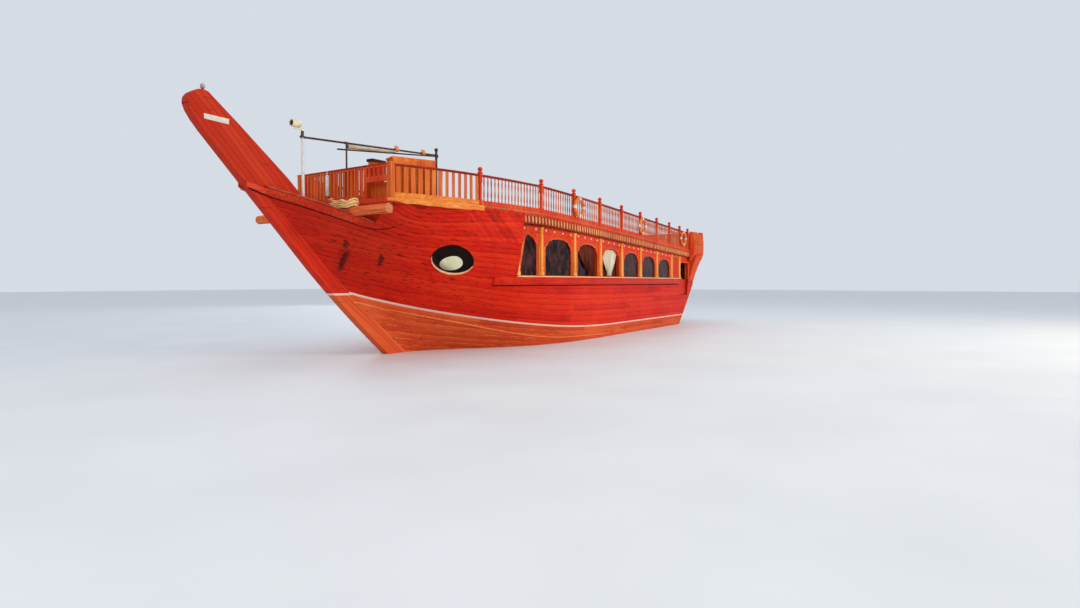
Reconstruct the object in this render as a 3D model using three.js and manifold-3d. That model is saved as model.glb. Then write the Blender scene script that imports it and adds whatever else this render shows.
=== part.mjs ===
import * as THREE from 'three';
import { mergeVertices } from 'three/addons/utils/BufferGeometryUtils.js';
import Module from 'manifold-3d';

// A decked wooden dhow with an arcaded saloon and a railed upper deck, in millimetres.
// X runs forward, Y to port and Z up; z = 0 is the waterline.

const wasm = await Module();
wasm.setup();

// Waterline and hull form
const STEM_WATERLINE_X = 8700;
const STERN_WATERLINE_X = -8750;
const STERN_RAKE = 0.85;
const STERN_KNEE_Z = 2000;
const HALF_BEAM_WATERLINE = 2680;
const FLARE = 420;
const FLARE_HEIGHT = 4200;
const STEM_HALF = 140;
const DEADWOOD_HALF = 110;
const BOTTOM_Z = -1500;
const DEADWOOD_END_X = -7950;

// Decks, walls and rails
const FLOOR_Z = 1350;
const SILL_Z = 2250;
const FOREDECK_Z = 3500;
const DECK_Z = 4250;
const DECK_SLOPE = 0.0378;
const DECK_SLOPE_X = 4900;
const DECK_THICK = 120;
const DECK_FRONT_X = 10300;
const DECK_END_X = -10650;
const WALL = 160;
const CABIN_FRONT_X = 9300;
const WINDOW_FRONT_X = 5800;
const TRANSOM_THICK = 180;
const RAIL_HEIGHT = 880;
const GAP = 0.5;
const SEAT = 0.3;

const LOW_LEVELS = [-1500, -1250, -1000, -750, -480, -420, -200, 0, 450, 900, 1350];
const SIDE_LEVELS = [1350, 1700, 2000, 2250];
const PEAK_LEVELS = [1350, 1900, 2450, 3000, 3500];

const lerp = (a, b, t) => a + (b - a) * t;
const clamp = (v, lo, hi) => Math.min(Math.max(v, lo), hi);

function stemX(z) {
  const m = z / 1000;
  if (m < 0) return STEM_WATERLINE_X + 1000 * (1.16 * m - 0.5 * m * m);
  if (m < 2.9) return STEM_WATERLINE_X + 1000 * (1.16 * m - 0.045 * m * m);
  return STEM_WATERLINE_X + 1000 * (2.98555 + 0.905 * (m - 2.9));
}

const stemAftX = (z) => stemX(z) - (720 - 0.09 * Math.max(z, 0));

function sternX(z) {
  if (z < -450) return DEADWOOD_END_X;
  return STERN_WATERLINE_X - STERN_RAKE * clamp(z, 0, STERN_KNEE_Z);
}

// Half breadth of the planking at a station and height.
function half(x, z) {
  const t = clamp(z / FLARE_HEIGHT, 0, 1.15);
  const beam = HALF_BEAM_WATERLINE + FLARE * t ** 0.8;
  const reach = 2870 - 370 * t;
  const s = Math.max(stemAftX(z) - x, 0);
  const full = STEM_HALF + (beam - STEM_HALF) * (1 - Math.exp(-((s / reach) ** (1.8 - 0.67 * t))));
  const d = 3 - x / 1000;
  const y = full * (1 - 0.0215 * (d + Math.sqrt(d * d + 4)) / 2);
  if (z >= 0) return y;
  const run = clamp((-2000 - x) / 6750, 0, 1);
  const depth = 1400 - 1150 * run ** 1.5;
  const bilge = 2.3 - 1.1 * clamp((x - 1000) / 5000, 0, 1) - 0.6 * run;
  const q = clamp(-z / depth, 0, 1);
  return Math.max(DEADWOOD_HALF, y * (1 - q ** bilge) ** 0.7);
}

const deckZ = (x) => DECK_Z - DECK_SLOPE * Math.max(DECK_SLOPE_X - x, 0);
const capZ = (x) => 3750 + 0.36 * (x - 10550) - 0.000018 * (x - 10550) ** 2;

// Closed solid from a row of closed outlines that hold the same number of points.
function solid(rings) {
  const n = rings[0].length;
  const position = rings.flat(2);
  const index = [];
  for (let i = 0; i < rings.length - 1; i += 1) {
    for (let j = 0; j < n; j += 1) {
      const a = i * n + j;
      const b = i * n + (j + 1) % n;
      index.push(a, b, b + n, a, b + n, a + n);
    }
  }
  // End faces are strips between the outline's first half and its second half.
  for (const [start, flip] of [[0, true], [(rings.length - 1) * n, false]]) {
    for (let j = 0; j < Math.floor((n - 1) / 2); j += 1) {
      const [a, b, c, d] = [j, j + 1, n - 2 - j, n - 1 - j].map((k) => k + start);
      const faces = b === c ? [[a, b, d]] : [[a, b, c], [a, c, d]];
      faces.forEach((f) => index.push(...(flip ? [f[0], f[2], f[1]] : f)));
    }
  }
  const geometry = new THREE.BufferGeometry();
  geometry.setAttribute('position', new THREE.Float32BufferAttribute(position, 3));
  geometry.setIndex(index);
  return faceOut(geometry);
}

function volume(geometry) {
  const p = geometry.attributes.position;
  const v = [0, 1, 2].map(() => new THREE.Vector3());
  let total = 0;
  for (let i = 0; i < geometry.index.count; i += 3) {
    v.forEach((q, k) => q.fromBufferAttribute(p, geometry.index.getX(i + k)));
    total += v[0].dot(v[1].clone().cross(v[2]));
  }
  return total / 6;
}

function faceOut(geometry) {
  if (volume(geometry) < 0) {
    const index = geometry.index.array;
    for (let i = 0; i < index.length; i += 3) [index[i], index[i + 1]] = [index[i + 1], index[i]];
  }
  return geometry;
}

function welded(geometry) {
  const g = geometry.clone();
  g.deleteAttribute('normal');
  g.deleteAttribute('uv');
  return faceOut(mergeVertices(g, 1e-3));
}

function toSolid(geometry) {
  const g = welded(geometry);
  return new wasm.Manifold(new wasm.Mesh({
    numProp: 3,
    vertProperties: new Float32Array(g.attributes.position.array),
    triVerts: new Uint32Array(g.index.array),
  }));
}

function fromSolid(body) {
  const mesh = body.getMesh();
  const g = new THREE.BufferGeometry();
  g.setAttribute('position', new THREE.BufferAttribute(new Float32Array(mesh.vertProperties), 3));
  g.setIndex(Array.from(mesh.triVerts));
  return g;
}

const joined = (list) => fromSolid(wasm.Manifold.union(list.map(toSolid)));
const cut = (base, tools) => fromSolid(tools.reduce((b, t) => b.subtract(toSolid(t)), toSolid(base)));

function mirrored(geometry) {
  const g = welded(geometry);
  g.scale(1, -1, 1);
  return faceOut(g);
}

function box(x0, x1, y0, y1, z0, z1) {
  const g = new THREE.BoxGeometry(x1 - x0, y1 - y0, z1 - z0);
  g.translate((x0 + x1) / 2, (y0 + y1) / 2, (z0 + z1) / 2);
  return g;
}

function rod(from, to, radius, sides = 12) {
  const a = new THREE.Vector3(...from);
  const b = new THREE.Vector3(...to);
  const g = new THREE.CylinderGeometry(radius, radius, a.distanceTo(b), sides);
  const along = b.clone().sub(a).normalize();
  g.applyQuaternion(new THREE.Quaternion().setFromUnitVectors(new THREE.Vector3(0, 1, 0), along));
  g.translate(...a.add(b).multiplyScalar(0.5).toArray());
  return g;
}

function ball(x, y, z, radius) {
  const g = new THREE.SphereGeometry(radius, 6, 5);
  g.rotateX(Math.PI / 2);
  g.translate(x, y, z);
  return g;
}

// Flat outline with holes, drawn in two axes and given a depth along the third by a placing rule.
function plate(outline, holes, depth, place) {
  const turned = (points, clockwise) => {
    const v = points.map((p) => new THREE.Vector2(...p));
    return THREE.ShapeUtils.isClockWise(v) === clockwise ? v : v.reverse();
  };
  const shape = new THREE.Shape(turned(outline, false));
  shape.holes = holes.map((h) => new THREE.Path(turned(h, true)));
  const g = welded(new THREE.ExtrudeGeometry(shape, { depth, bevelEnabled: false }));
  const p = g.attributes.position;
  for (let i = 0; i < p.count; i += 1) p.setXYZ(i, ...place(p.getX(i), p.getY(i), p.getZ(i)));
  return faceOut(g);
}

const parts = [];
const add = (name, geometry) => parts.push([name, geometry]);
function addPair(name, geometry) {
  add(`${name}_port`, geometry);
  add(`${name}_starboard`, mirrored(geometry));
}

// Hull below the saloon floor
const LOW_STATIONS = [
  0, 0.02, 0.045, 0.08, 0.12, 0.17, 0.22, 0.28, 0.34, 0.4, 0.46, 0.52, 0.58, 0.63, 0.68, 0.73,
  0.775, 0.815, 0.85, 0.88, 0.91, 0.935, 0.96, 0.98, 1,
];
const lowRings = LOW_STATIONS.map((t) => {
  const side = LOW_LEVELS.map((z) => {
    const x = lerp(sternX(z), stemAftX(z) - 1, t);
    return [x, half(x, z), z];
  });
  return [...side, ...side.map(([x, y, z]) => [x, -y, z]).reverse()];
});
const RUDDER_X = -8950;
const STOCK_RADIUS = 55;
const stockBore = rod([RUDDER_X, 0, -300], [RUDDER_X, 0, 800], STOCK_RADIUS + 10, 16);
add('hull_lower', cut(solid(lowRings), [stockBore]));

// Keel with the skeg that carries the rudder heel
const HEEL_PIN_RADIUS = 30;
const keelBar = plate(
  [[stemX(BOTTOM_Z), BOTTOM_Z], [5560, -1700], [-9100, -1700], [-9150, -1650], [-9150, BOTTOM_Z]],
  [],
  2 * DEADWOOD_HALF,
  (x, z, w) => [x, w - DEADWOOD_HALF, z],
);
const heelPin = rod([RUDDER_X, 0, BOTTOM_Z - 50], [RUDDER_X, 0, BOTTOM_Z + 75], HEEL_PIN_RADIUS);
add('keel', joined([keelBar, heelPin]));

// Stem, a tall raked plank that widens above the foredeck
const stemFront = [...LOW_LEVELS, 1900, 2400, 2900, 5480].map((z) => [stemX(z), z]);
const stemBack = [...LOW_LEVELS, ...PEAK_LEVELS.slice(1)].map((z) => [stemAftX(z), z]).reverse();
const stemHead = [
  [14180, 5680], [14290, 5850], [14345, 6005], [14330, 6130], [14260, 6230], [14140, 6310], [14010, 6345],
  [13890, 6310],
  [13170, 5720], [11940, 4670], [11610, 4340], [11500, FOREDECK_Z],
];
const stemPlank = plate([...stemFront, ...stemHead, ...stemBack], [], 2 * STEM_HALF, (x, z, w) => [x, w - STEM_HALF, z]);
const finial = joined([rod([13950, 0, 6280], [13950, 0, 6410], 28, 10), ball(13950, 0, 6440, 62)]);
add('stem', joined([stemPlank, finial]));

// Solid forepeak under the foredeck, stepped up under the front of the upper deck
const PEAK_STATIONS = [0, 0.14, 0.27, 0.4, 0.52, 0.64, 0.75, 0.85, 0.93, 1];
const peakRings = PEAK_STATIONS.map((t) => {
  const side = PEAK_LEVELS.map((z) => {
    const x = lerp(CABIN_FRONT_X, stemAftX(z) - 1, t);
    return [x, half(x, z), z];
  });
  return [...side, ...side.map(([x, y, z]) => [x, -y, z]).reverse()];
});
const stepTop = DECK_Z - DECK_THICK;
const stepRings = [CABIN_FRONT_X, 9650, 10000, DECK_FRONT_X].map((x) => {
  const side = [FOREDECK_Z - 60, FOREDECK_Z, (FOREDECK_Z + stepTop) / 2, stepTop].map((z) => [x, half(x, z) - 25, z]);
  return [...side, ...side.map(([px, y, z]) => [px, -y, z]).reverse()];
});
add('forepeak', joined([solid(peakRings), solid(stepRings)]));

// Side walls between floor and sill, with the boarding gate's notch
const GATE_X = [-8400, -9700];
const GATE_SILL_Z = 1450;
const SIDE_STATIONS = [
  0, 0.03, 0.06, 0.095, 0.135, 0.175, 0.22, 0.27, 0.33, 0.4, 0.47, 0.54, 0.61, 0.68, 0.75, 0.82, 0.89, 0.95, 1,
];
const sideGrid = SIDE_STATIONS.map((t) => SIDE_LEVELS.map((z) => {
  const x = lerp(CABIN_FRONT_X, sternX(z) + TRANSOM_THICK, t);
  return [x, half(x, z), z];
}));
const sideRings = sideGrid.map((row) => [...row, ...row.map(([x, y, z]) => [x, y - WALL, z]).reverse()]);
const GATE_AXIS_X = -9640;
const GATE_AXIS_Y = half(GATE_AXIS_X, FLOOR_Z) - 95;
const gateNotch = box(GATE_X[1], GATE_X[0], 1500, 3000, GATE_SILL_Z, 2400);
const PIVOT_DEPTH = 35;
const pivotBore = rod(
  [GATE_AXIS_X, GATE_AXIS_Y, GATE_SILL_Z - PIVOT_DEPTH - SEAT],
  [GATE_AXIS_X, GATE_AXIS_Y, 1600],
  21,
);
const SIDE_SPLIT_X = 2000;
const topside = cut(solid(sideRings), [gateNotch, pivotBore]);
addPair('topside_fore', cut(topside, [box(-12000, SIDE_SPLIT_X, 0, 4000, 1000, 3000)]));
addPair('topside_aft', cut(topside, [box(SIDE_SPLIT_X, 12000, 0, 4000, 1000, 3000)]));

// Boarding gate leaf on its pivot
const gateSlope = (half(-9700, FLOOR_Z) - half(-8400, FLOOR_Z)) / -1300;
const leafY = (x) => GATE_AXIS_Y + gateSlope * (x - GATE_AXIS_X);
const gateLeaf = plate(
  [[-8430, 1460], [-9672, 1460], [-9672, 2240], [-8430, 2240]],
  [],
  60,
  (x, z, w) => [x, leafY(x) - 30 + w, z],
);
const pivot = rod([GATE_AXIS_X, GATE_AXIS_Y, GATE_SILL_Z - PIVOT_DEPTH], [GATE_AXIS_X, GATE_AXIS_Y, 1500], 15);
addPair('boarding_gate', joined([gateLeaf, pivot]));

// Flared bow side with the eye-shaped port
const EYE = { x: 8070, z: 2720, length: 1240, height: 780, rim: 75, lean: 0.2 };
function eye(grow) {
  const points = [];
  for (let i = 0; i < 24; i += 1) {
    const a = (i / 24) * 2 * Math.PI;
    const c = Math.cos(a);
    const dx = (EYE.length / 2 + grow) * Math.sign(c) * Math.abs(c) ** 0.85;
    const dz = (EYE.height / 2 + grow) * Math.sin(a) * (1 - 0.12 * Math.abs(c));
    points.push([EYE.x + dx, EYE.z + dz + EYE.lean * dx]);
  }
  return points;
}
const BOW_X = [9300, 8950, 8600, 8250, 7900, 7550, 7150, 6700, 6250, 5800];
const bowRings = BOW_X.map((x) => {
  const top = deckZ(x) - DECK_THICK - GAP;
  const side = [0, 0.25, 0.5, 0.75, 1].map((f) => {
    const z = lerp(SILL_Z, top, f);
    return [x, half(x, z), z];
  });
  return [...side, ...side.map(([px, y, z]) => [px, y - WALL, z]).reverse()];
});
const eyeTool = plate(eye(0), [], 1800, (x, z, w) => [x, 1200 + w, z]);
addPair('bow_side', cut(solid(bowRings), [eyeTool]));
addPair('porthole_rim', plate(
  eye(-GAP),
  [eye(-EYE.rim)],
  WALL + 60,
  (x, z, w) => [x, half(x, z) - WALL - 5 + w, z],
));

// Arcaded window walls: posts, bays and arch openings
const PILLAR_X = [4650, 2695, 740, -1215, -3170, -5125, -7080];
const DOOR_POST_X = -8260;
const AFT_POST_X = -9850;
const WALL_END_X = sternX(SILL_Z) + TRANSOM_THICK;
const PILLAR_HALF = 200;
const wallX = [WINDOW_FRONT_X, ...PILLAR_X, DOOR_POST_X, AFT_POST_X, WALL_END_X];
const wallY = (x) => {
  const i = clamp(wallX.findIndex((v) => v <= x + 0.01), 1, wallX.length - 1);
  const [a, b] = [wallX[i - 1], wallX[i]];
  return lerp(half(a, SILL_Z) - 15, half(b, SILL_Z) - 15, (a - x) / (a - b));
};
const wallTop = (x) => deckZ(x) - DECK_THICK - GAP;

// Five-lobed arch between two posts.
function foilArch(x0, x1, foot, top) {
  const w = (x0 - x1) / 2;
  const c = (x0 + x1) / 2;
  const rise = 330;
  const lobes = [
    [1, -0.15], [0.94, 0.32], [0.84, 0.42], [0.76, 0.74], [0.58, 0.84], [0.46, 0.98], [0.24, 1.0], [0, 1.06],
  ];
  const right = lobes.map(([u, v]) => [c + w * u, top - rise + rise * v]);
  const left = lobes.slice(0, -1).map(([u, v]) => [c - w * u, top - rise + rise * v]).reverse();
  return [[c - w, foot], [c + w, foot], ...right, ...left];
}

function wallPanel(x0, x1, holes) {
  return plate(
    [[x0, SILL_Z], [x1, SILL_Z], [x1, wallTop(x1)], [x0, wallTop(x0)]],
    holes,
    WALL,
    (x, z, w) => {
      const y = lerp(wallY(x0), wallY(x1), (x0 - x) / (x0 - x1));
      return [x, y - WALL + w, z];
    },
  );
}
const archTop = (x) => deckZ(x) - 700;
const panels = [wallPanel(WINDOW_FRONT_X, PILLAR_X[0], [[
  [5660, 2310], [4860, 2310], [4860, 3200], [4890, 3330], [4950, 3400], [5020, 3500], [5140, 3530],
  [5240, 3600], [5370, 3560],
]])];
for (let i = 0; i < PILLAR_X.length - 1; i += 1) {
  const [a, b] = [PILLAR_X[i], PILLAR_X[i + 1]];
  const top = archTop((a + b) / 2);
  panels.push(wallPanel(a, b, [foilArch(a - PILLAR_HALF, b + PILLAR_HALF, 2310, top)]));
}
panels.push(wallPanel(PILLAR_X[6], DOOR_POST_X, []));
const gateHead = archTop(-9000) + 60;
panels.push(wallPanel(DOOR_POST_X, AFT_POST_X, []));
panels.push(wallPanel(AFT_POST_X, WALL_END_X, []));
const gateArch = plate(
  [[-8400, 2000], [-9700, 2000], [-9700, gateHead - 150], [-9560, gateHead], [-8540, gateHead], [-8400, gateHead - 150]],
  [],
  1200,
  (x, z, w) => [x, 1500 + w, z],
);
addPair('window_wall_fore', joined(panels.slice(0, 3)));
addPair('window_wall_mid', joined(panels.slice(3, 6)));
addPair('window_wall_aft', cut(joined(panels.slice(6)), [gateArch]));

// Sill ledge under the windows and the raised wale below it
const ledgeX = [...wallX.slice(0, -3), -8380];
const ledgeRings = ledgeX.map((x) => {
  const y = wallY(x);
  return [[x, y + GAP, SILL_Z + 1], [x, y + 95, SILL_Z + 1], [x, y + 95, SILL_Z + 38], [x, y + GAP, SILL_Z + 52]];
});
addPair('sill_ledge', solid(ledgeRings));
const waleRings = sideGrid.filter(([p]) => p[0] < 7000 && p[0] > -8300).map((row) => {
  const [low, high] = row.slice(2);
  const at = (f, out) => [lerp(low[0], high[0], f), lerp(low[1], high[1], f) + out, lerp(low[2], high[2], f)];
  return [at(0, GAP), at(1, GAP), at(0.96, 60), at(0.84, 78), at(0.14, 78), at(0.02, 60)];
});
addPair('wale', solid(waleRings));

// Transom slab across the stern with three arched lights
const transomLevels = [FLOOR_Z, 1700, 2000, 2600, 3100, 0];
const transomRings = transomLevels.map((level) => {
  const z = level || deckZ(sternX(9000)) - DECK_THICK - 8;
  const x = sternX(z);
  const zh = Math.min(z, SILL_Z);
  const a = half(x, zh) - (z > SILL_Z ? 15 : 0);
  const b = half(x + TRANSOM_THICK, zh) - (z > SILL_Z ? 15 : 0);
  const front = x + TRANSOM_THICK - GAP;
  return [[x, -a, z], [x, a, z], [front, b, z], [front, -b, z]];
});
const lights = [-1050, 0, 1050].map((c) => plate(
  [
    [c - 300, 2450], [c + 300, 2450], [c + 300, 3000], [c + 250, 3130], [c + 140, 3220], [c, 3270],
    [c - 140, 3220], [c - 250, 3130], [c - 300, 3000],
  ],
  [],
  700,
  (y, z, w) => [-10800 + w, y, z],
));
add('transom', cut(solid(transomRings), lights));

// Upper deck plates: a level one forward of the knee, and one that slopes down aft of it
const EDGE_X = {
  fore: [10300, 10000, 9600, 9200, 8700, 8200, 7550, 6900, 6200, 5500, DECK_SLOPE_X],
  aft: [DECK_SLOPE_X, 3500, 2000, 500, -1500, -3500, -5500, -7500, -9500, DECK_END_X],
};
const edgeY = (x) => half(x, FLARE_HEIGHT) - 20;
for (const [where, stations] of Object.entries(EDGE_X)) {
  add(`upper_deck_${where}`, solid(stations.map((x) => {
    const [y, z] = [edgeY(x), deckZ(x)];
    return [[x, -y, z - DECK_THICK], [x, y, z - DECK_THICK], [x, y, z], [x, -y, z]];
  })));
}

// Carved valance under the deck edge
const VALANCE_X = {
  fore: [5790, 5500, 4900, 3500, 2000, 500],
  aft: [500, -1500, -3500, -5500, -7500, -9500],
};
for (const [where, stations] of Object.entries(VALANCE_X)) {
  addPair(`valance_${where}`, solid(stations.map((x) => {
    const [y, z] = [edgeY(x) - 12, deckZ(x) - DECK_THICK - GAP];
    return [[x, y - 45, z], [x, y, z], [x, y, z - 185], [x, y - 22, z - 240], [x, y - 45, z - 240]];
  })));
}

// Bulwarks of the foredeck and their caps
const BULWARK_FRACTIONS = [0, 0.12, 0.25, 0.38, 0.5, 0.62, 0.74, 0.84, 0.93, 1];
const CAP_THICK = 70;
const BEAM_X = 10760;
const BEAM_RADIUS = 125;
const bulwarkRows = BULWARK_FRACTIONS.map((t) => [0, 0.5, 1].map((f) => {
  let z = FOREDECK_Z;
  let x = DECK_FRONT_X;
  for (let k = 0; k < 12; k += 1) {
    x = lerp(DECK_FRONT_X, stemAftX(z) - 90, t);
    z = lerp(FOREDECK_Z, capZ(x) - CAP_THICK - GAP, f);
  }
  return [x, half(x, z), z];
}));
const inner = (y, depth) => Math.max(y - depth, STEM_HALF + 5);
addPair('bulwark', solid(bulwarkRows.map((row) => [
  ...row,
  ...row.map(([x, y, z]) => [x, inner(y, 110), z]).reverse(),
])));
const beamZ = capZ(BEAM_X) - CAP_THICK + 16 + BEAM_RADIUS;
const beam = (radius) => rod([BEAM_X, -2980, beamZ], [BEAM_X, 2460, beamZ], radius, 14);
const capRings = bulwarkRows.map((row) => {
  const [x, y, top] = row[2];
  const z = top + GAP;
  const inside = inner(y, 170);
  return [
    [x, inside, z], [x, y + 25, z], [x, y + 45, z + 25], [x, y + 45, z + 50], [x, y + 20, z + CAP_THICK],
    [x, inside, z + CAP_THICK],
  ];
});
addPair('bulwark_cap', cut(solid(capRings), [beam(BEAM_RADIUS + SEAT)]));

// Log laid across the bulwarks, let into their caps
add('cathead_beam', beam(BEAM_RADIUS));

// Upper-deck railings
const POST_X = [10140, 7550, 4830, 2870, 910, -1050, -3010, -4970, -6650, -8150, -9420];
const BEND_X = [9600, 9050, 8400, 6700, 5800, 4900];
const railY = (x) => half(x, FLARE_HEIGHT) - 95;
const railZ = (x) => deckZ(x) + GAP;

// Flat slab from a plane's triangles; its edge faces follow the open edges.
function slab(points, faces, thick, place) {
  const n = points.length;
  const position = [-0.5, 0.5].flatMap((side) => points.flatMap(([s, h]) => place(s, side * thick, h)));
  const edges = new Set(faces.flatMap(([a, b, c]) => [`${a},${b}`, `${b},${c}`, `${c},${a}`]));
  const index = faces.flatMap(([a, b, c]) => [a, b, c, a + n, c + n, b + n]);
  for (const edge of edges) {
    const [a, b] = edge.split(',').map(Number);
    if (!edges.has(`${b},${a}`)) index.push(b, a, a + n, b, a + n, b + n);
  }
  const geometry = new THREE.BufferGeometry();
  geometry.setAttribute('position', new THREE.Float32BufferAttribute(position, 3));
  geometry.setIndex(index);
  return faceOut(geometry);
}

// Railing stretch in its own run and height: foot board, upright pickets and hand rail.
function railing(start, end, pitch, wide, low, high, thick, place) {
  const count = end - start > 200 ? Math.max(Math.round((end - start) / pitch), 1) : 0;
  const step = (end - start) / Math.max(count, 1);
  const runs = [start];
  for (let i = 0; i < count; i += 1) {
    runs.push(start + i * step + (i ? wide / 2 : 30), start + (i + 1) * step - (i < count - 1 ? wide / 2 : 30));
  }
  runs.push(end);
  const m = runs.length;
  const points = [low + 150, high - 60].flatMap((h) => runs.map((s) => [s, h]));
  const [a, b, c, d] = [2 * m, 2 * m + 1, 2 * m + 2, 2 * m + 3];
  points.push([start, low], [end, low], [end, high], [start, high]);
  const faces = [[a, b, m - 1], [d, 2 * m - 1, c]];
  for (let k = 0; k < m - 1; k += 1) {
    faces.push([a, k + 1, k], [d, m + k, m + k + 1]);
    if (k % 2 === 0) faces.push([k, k + 1, m + k + 1], [k, m + k + 1, m + k]);
  }
  return slab(points, faces, thick, place);
}
function railPanel(x0, x1, pitch, wide) {
  const length = x0 - x1;
  return railing(0, length, pitch, wide, 0, RAIL_HEIGHT, 50, (s, w, h) => {
    const t = s / length;
    return [x0 - s, lerp(railY(x0), railY(x1), t) + w, lerp(railZ(x0), railZ(x1), t) + h];
  });
}
const POST_HALF = 55;
const RAIL_SPLIT_X = 910;
function railSide(posts, stations) {
  const pieces = [];
  for (let i = 0; i < stations.length - 1; i += 1) {
    const front = stations[i] > 7600;
    pieces.push(railPanel(stations[i], stations[i + 1], front ? 290 : 325, front ? 120 : 60));
  }
  for (const x of posts) {
    const [y, z] = [railY(x), railZ(x)];
    const foot = z + (x < DECK_SLOPE_X ? 3 : 0);
    const corner = x === POST_X[0];
    pieces.push(box(x - POST_HALF, x + POST_HALF, y - POST_HALF, y + POST_HALF, foot, z + RAIL_HEIGHT + (corner ? 25 : 75)));
    if (!corner) pieces.push(ball(x, y, z + RAIL_HEIGHT + 140, 72));
  }
  return joined(pieces);
}
const railX = [...POST_X, ...BEND_X].sort((a, b) => b - a);
const isFore = (x) => x >= RAIL_SPLIT_X;
addPair('deck_rail_fore', railSide(POST_X.filter(isFore), railX.filter(isFore)));
addPair('deck_rail_aft', railSide(
  POST_X.filter((x) => !isFore(x)),
  [RAIL_SPLIT_X - POST_HALF, ...railX.filter((x) => !isFore(x))],
));

// Front railing with its low hatchway on the port side
const FRONT_RAIL_X = 10150;
const frontEnd = railY(10140) - 56;
const frontPlace = (y, w, h) => [FRONT_RAIL_X + w, y, DECK_Z + h];
add('front_rail', joined([
  railing(-frontEnd, 900, 170, 80, 0, RAIL_HEIGHT, 60, frontPlace),
  railing(900, frontEnd, 170, 75, 450, RAIL_HEIGHT, 60, frontPlace),
  box(FRONT_RAIL_X - 35, FRONT_RAIL_X + 35, 860, 980, DECK_Z, DECK_Z + RAIL_HEIGHT + 30),
  box(FRONT_RAIL_X - 35, FRONT_RAIL_X + 35, frontEnd - 60, frontEnd - 1, DECK_Z, DECK_Z + RAIL_HEIGHT + 10),
]));

// Carved galleries round the quarters and the stern
const GALLERY = [
  [0, -440], [110, -330], [190, -230], [290, -100], [310, 60], [310, 520], [250, 640], [230, 900], [160, 1000], [0, 1000],
];
const GALLERY_X = [-9500, DECK_END_X];
addPair('quarter_gallery', solid(GALLERY_X.map((x, i) => GALLERY.map(([out, up]) => [
  x,
  edgeY(x) + 1 + out * (i ? 1 : 0.8),
  deckZ(DECK_END_X) + up + (i ? 0 : -20),
]))));
const sternWide = edgeY(DECK_END_X) + 300;
add('stern_gallery', plate(
  GALLERY.map(([out, up]) => [-out, up]),
  [],
  2 * sternWide,
  (x, z, w) => [DECK_END_X + x, w - sternWide, deckZ(DECK_END_X) + z],
));

// Life rings outside the railings
const RING_TUBE = 62;
const RING_AT = [['fore', 2680, 2870], ['mid', -3000, -3010], ['aft', -8400, -8150]];
RING_AT.forEach(([where, x, post]) => {
  const ring = new THREE.TorusGeometry(290, RING_TUBE, 6, 16);
  ring.rotateX(Math.PI / 2);
  const back = RING_TUBE * Math.sin(Math.PI / 3);
  ring.translate(x, railY(post) + 55 + SEAT + back, railZ(x) + 480);
  addPair(`life_ring_${where}`, welded(ring));
});

// Helm cabinet along the port railing, a low chest and a narrow locker inboard of it
const CABINET = [[9970, 1760], [8880, 2190], [8715, 1772], [9805, 1342]];
const cabinetBody = (grow, z0, z1) => {
  const [cx, cy] = [0, 1].map((k) => CABINET.reduce((sum, c) => sum + c[k], 0) / 4);
  const ring = CABINET.map(([x, y]) => [x + Math.sign(x - cx) * grow, y + Math.sign(y - cy) * grow]);
  return solid([z0, z1].map((z) => ring.map(([x, y]) => [x, y, z])));
};
add('helm_cabinet', joined([
  cabinetBody(0, DECK_Z, DECK_Z + 1055),
  cabinetBody(20, DECK_Z + 1054, DECK_Z + 1105),
  box(9520, 9940, 770, 930, DECK_Z, DECK_Z + 1060),
  box(9490, 9970, 740, 960, DECK_Z + 1059, DECK_Z + 1125),
  box(9560, 9900, 900, 1500, DECK_Z, DECK_Z + 480),
]));

// Awning frame on the centreline: three poles and a ridge pipe
const RIDGE = [[11410, 5790], [10030, 5875], [6510, 6120]];
const POLE_RISE = [150, 0, 115];
const poles = RIDGE.map(([x, z], i) => rod([x, 0, i ? DECK_Z : FOREDECK_Z], [x, 0, z + POLE_RISE[i]], i === 1 ? 24 : 38, 9));
const pipeZ = (x) => 5787 + ((11460 - x) * 336) / 4990;
const lowPipeZ = (x) => 5670 + ((10330 - x) * 420) / 3820;
const ridgePipe = rod([11460, 0, pipeZ(11460)], [6470, 0, pipeZ(6470)], 27, 8);
const lowPipe = rod([10330, 0, lowPipeZ(10330)], [6510, 0, lowPipeZ(6510)], 22, 8);
const poleBall = ball(6510, 0, 6290, 60);
add('awning_frame', joined([...poles, ridgePipe, lowPipe, poleBall]));

// Awning furled to a tapering roll between the two pipes
const rollX = [9985, 9500, 8900, 8250];
add('awning_roll', solid(rollX.map((x) => {
  const [top, low] = [pipeZ(x) - 27.2, lowPipeZ(x) + 22.2];
  const [mid, r] = [(top + low) / 2, (top - low) / 2 - SEAT];
  return Array.from({ length: 12 }, (_, k) => {
    const a = (k / 12) * 2 * Math.PI;
    return [x, r * Math.cos(a) * 0.95, mid + r * Math.sin(a)];
  });
})));

// Searchlight on a bracket that reaches forward from the head of the fore pole
add('searchlight', joined([
  rod([11410, 0, 5940.5], [11410, 0, 6000], 34),
  box(11385, 11640, -22, 22, 5965, 5990),
  rod([11600, 0, 5975], [11600, 0, 6040], 24, 10),
  rod([11465, 0, 6095], [11735, 0, 6095], 95, 16),
]));

// Coil of mooring rope lying on the log, grooved to it
const heapRings = [[240, 0.72], [300, 0.96], [520, 1], [770, 0.97], [1020, 1], [1240, 0.96], [1300, 0.72]];
const heapOutline = [[-0.92, 0], [0.92, 0], [1, 0.25], [1, 0.75], [0.85, 1], [-0.85, 1], [-1, 0.75], [-1, 0.25]];
const heapShape = heapRings.map(([y, f]) => heapOutline.map(([u, v]) => [
  BEAM_X + 195 * f * u, y, beamZ + 95 + 245 * f * v,
]));
add('rope_heap', cut(solid(heapShape), [beam(BEAM_RADIUS + SEAT)]));

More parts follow.
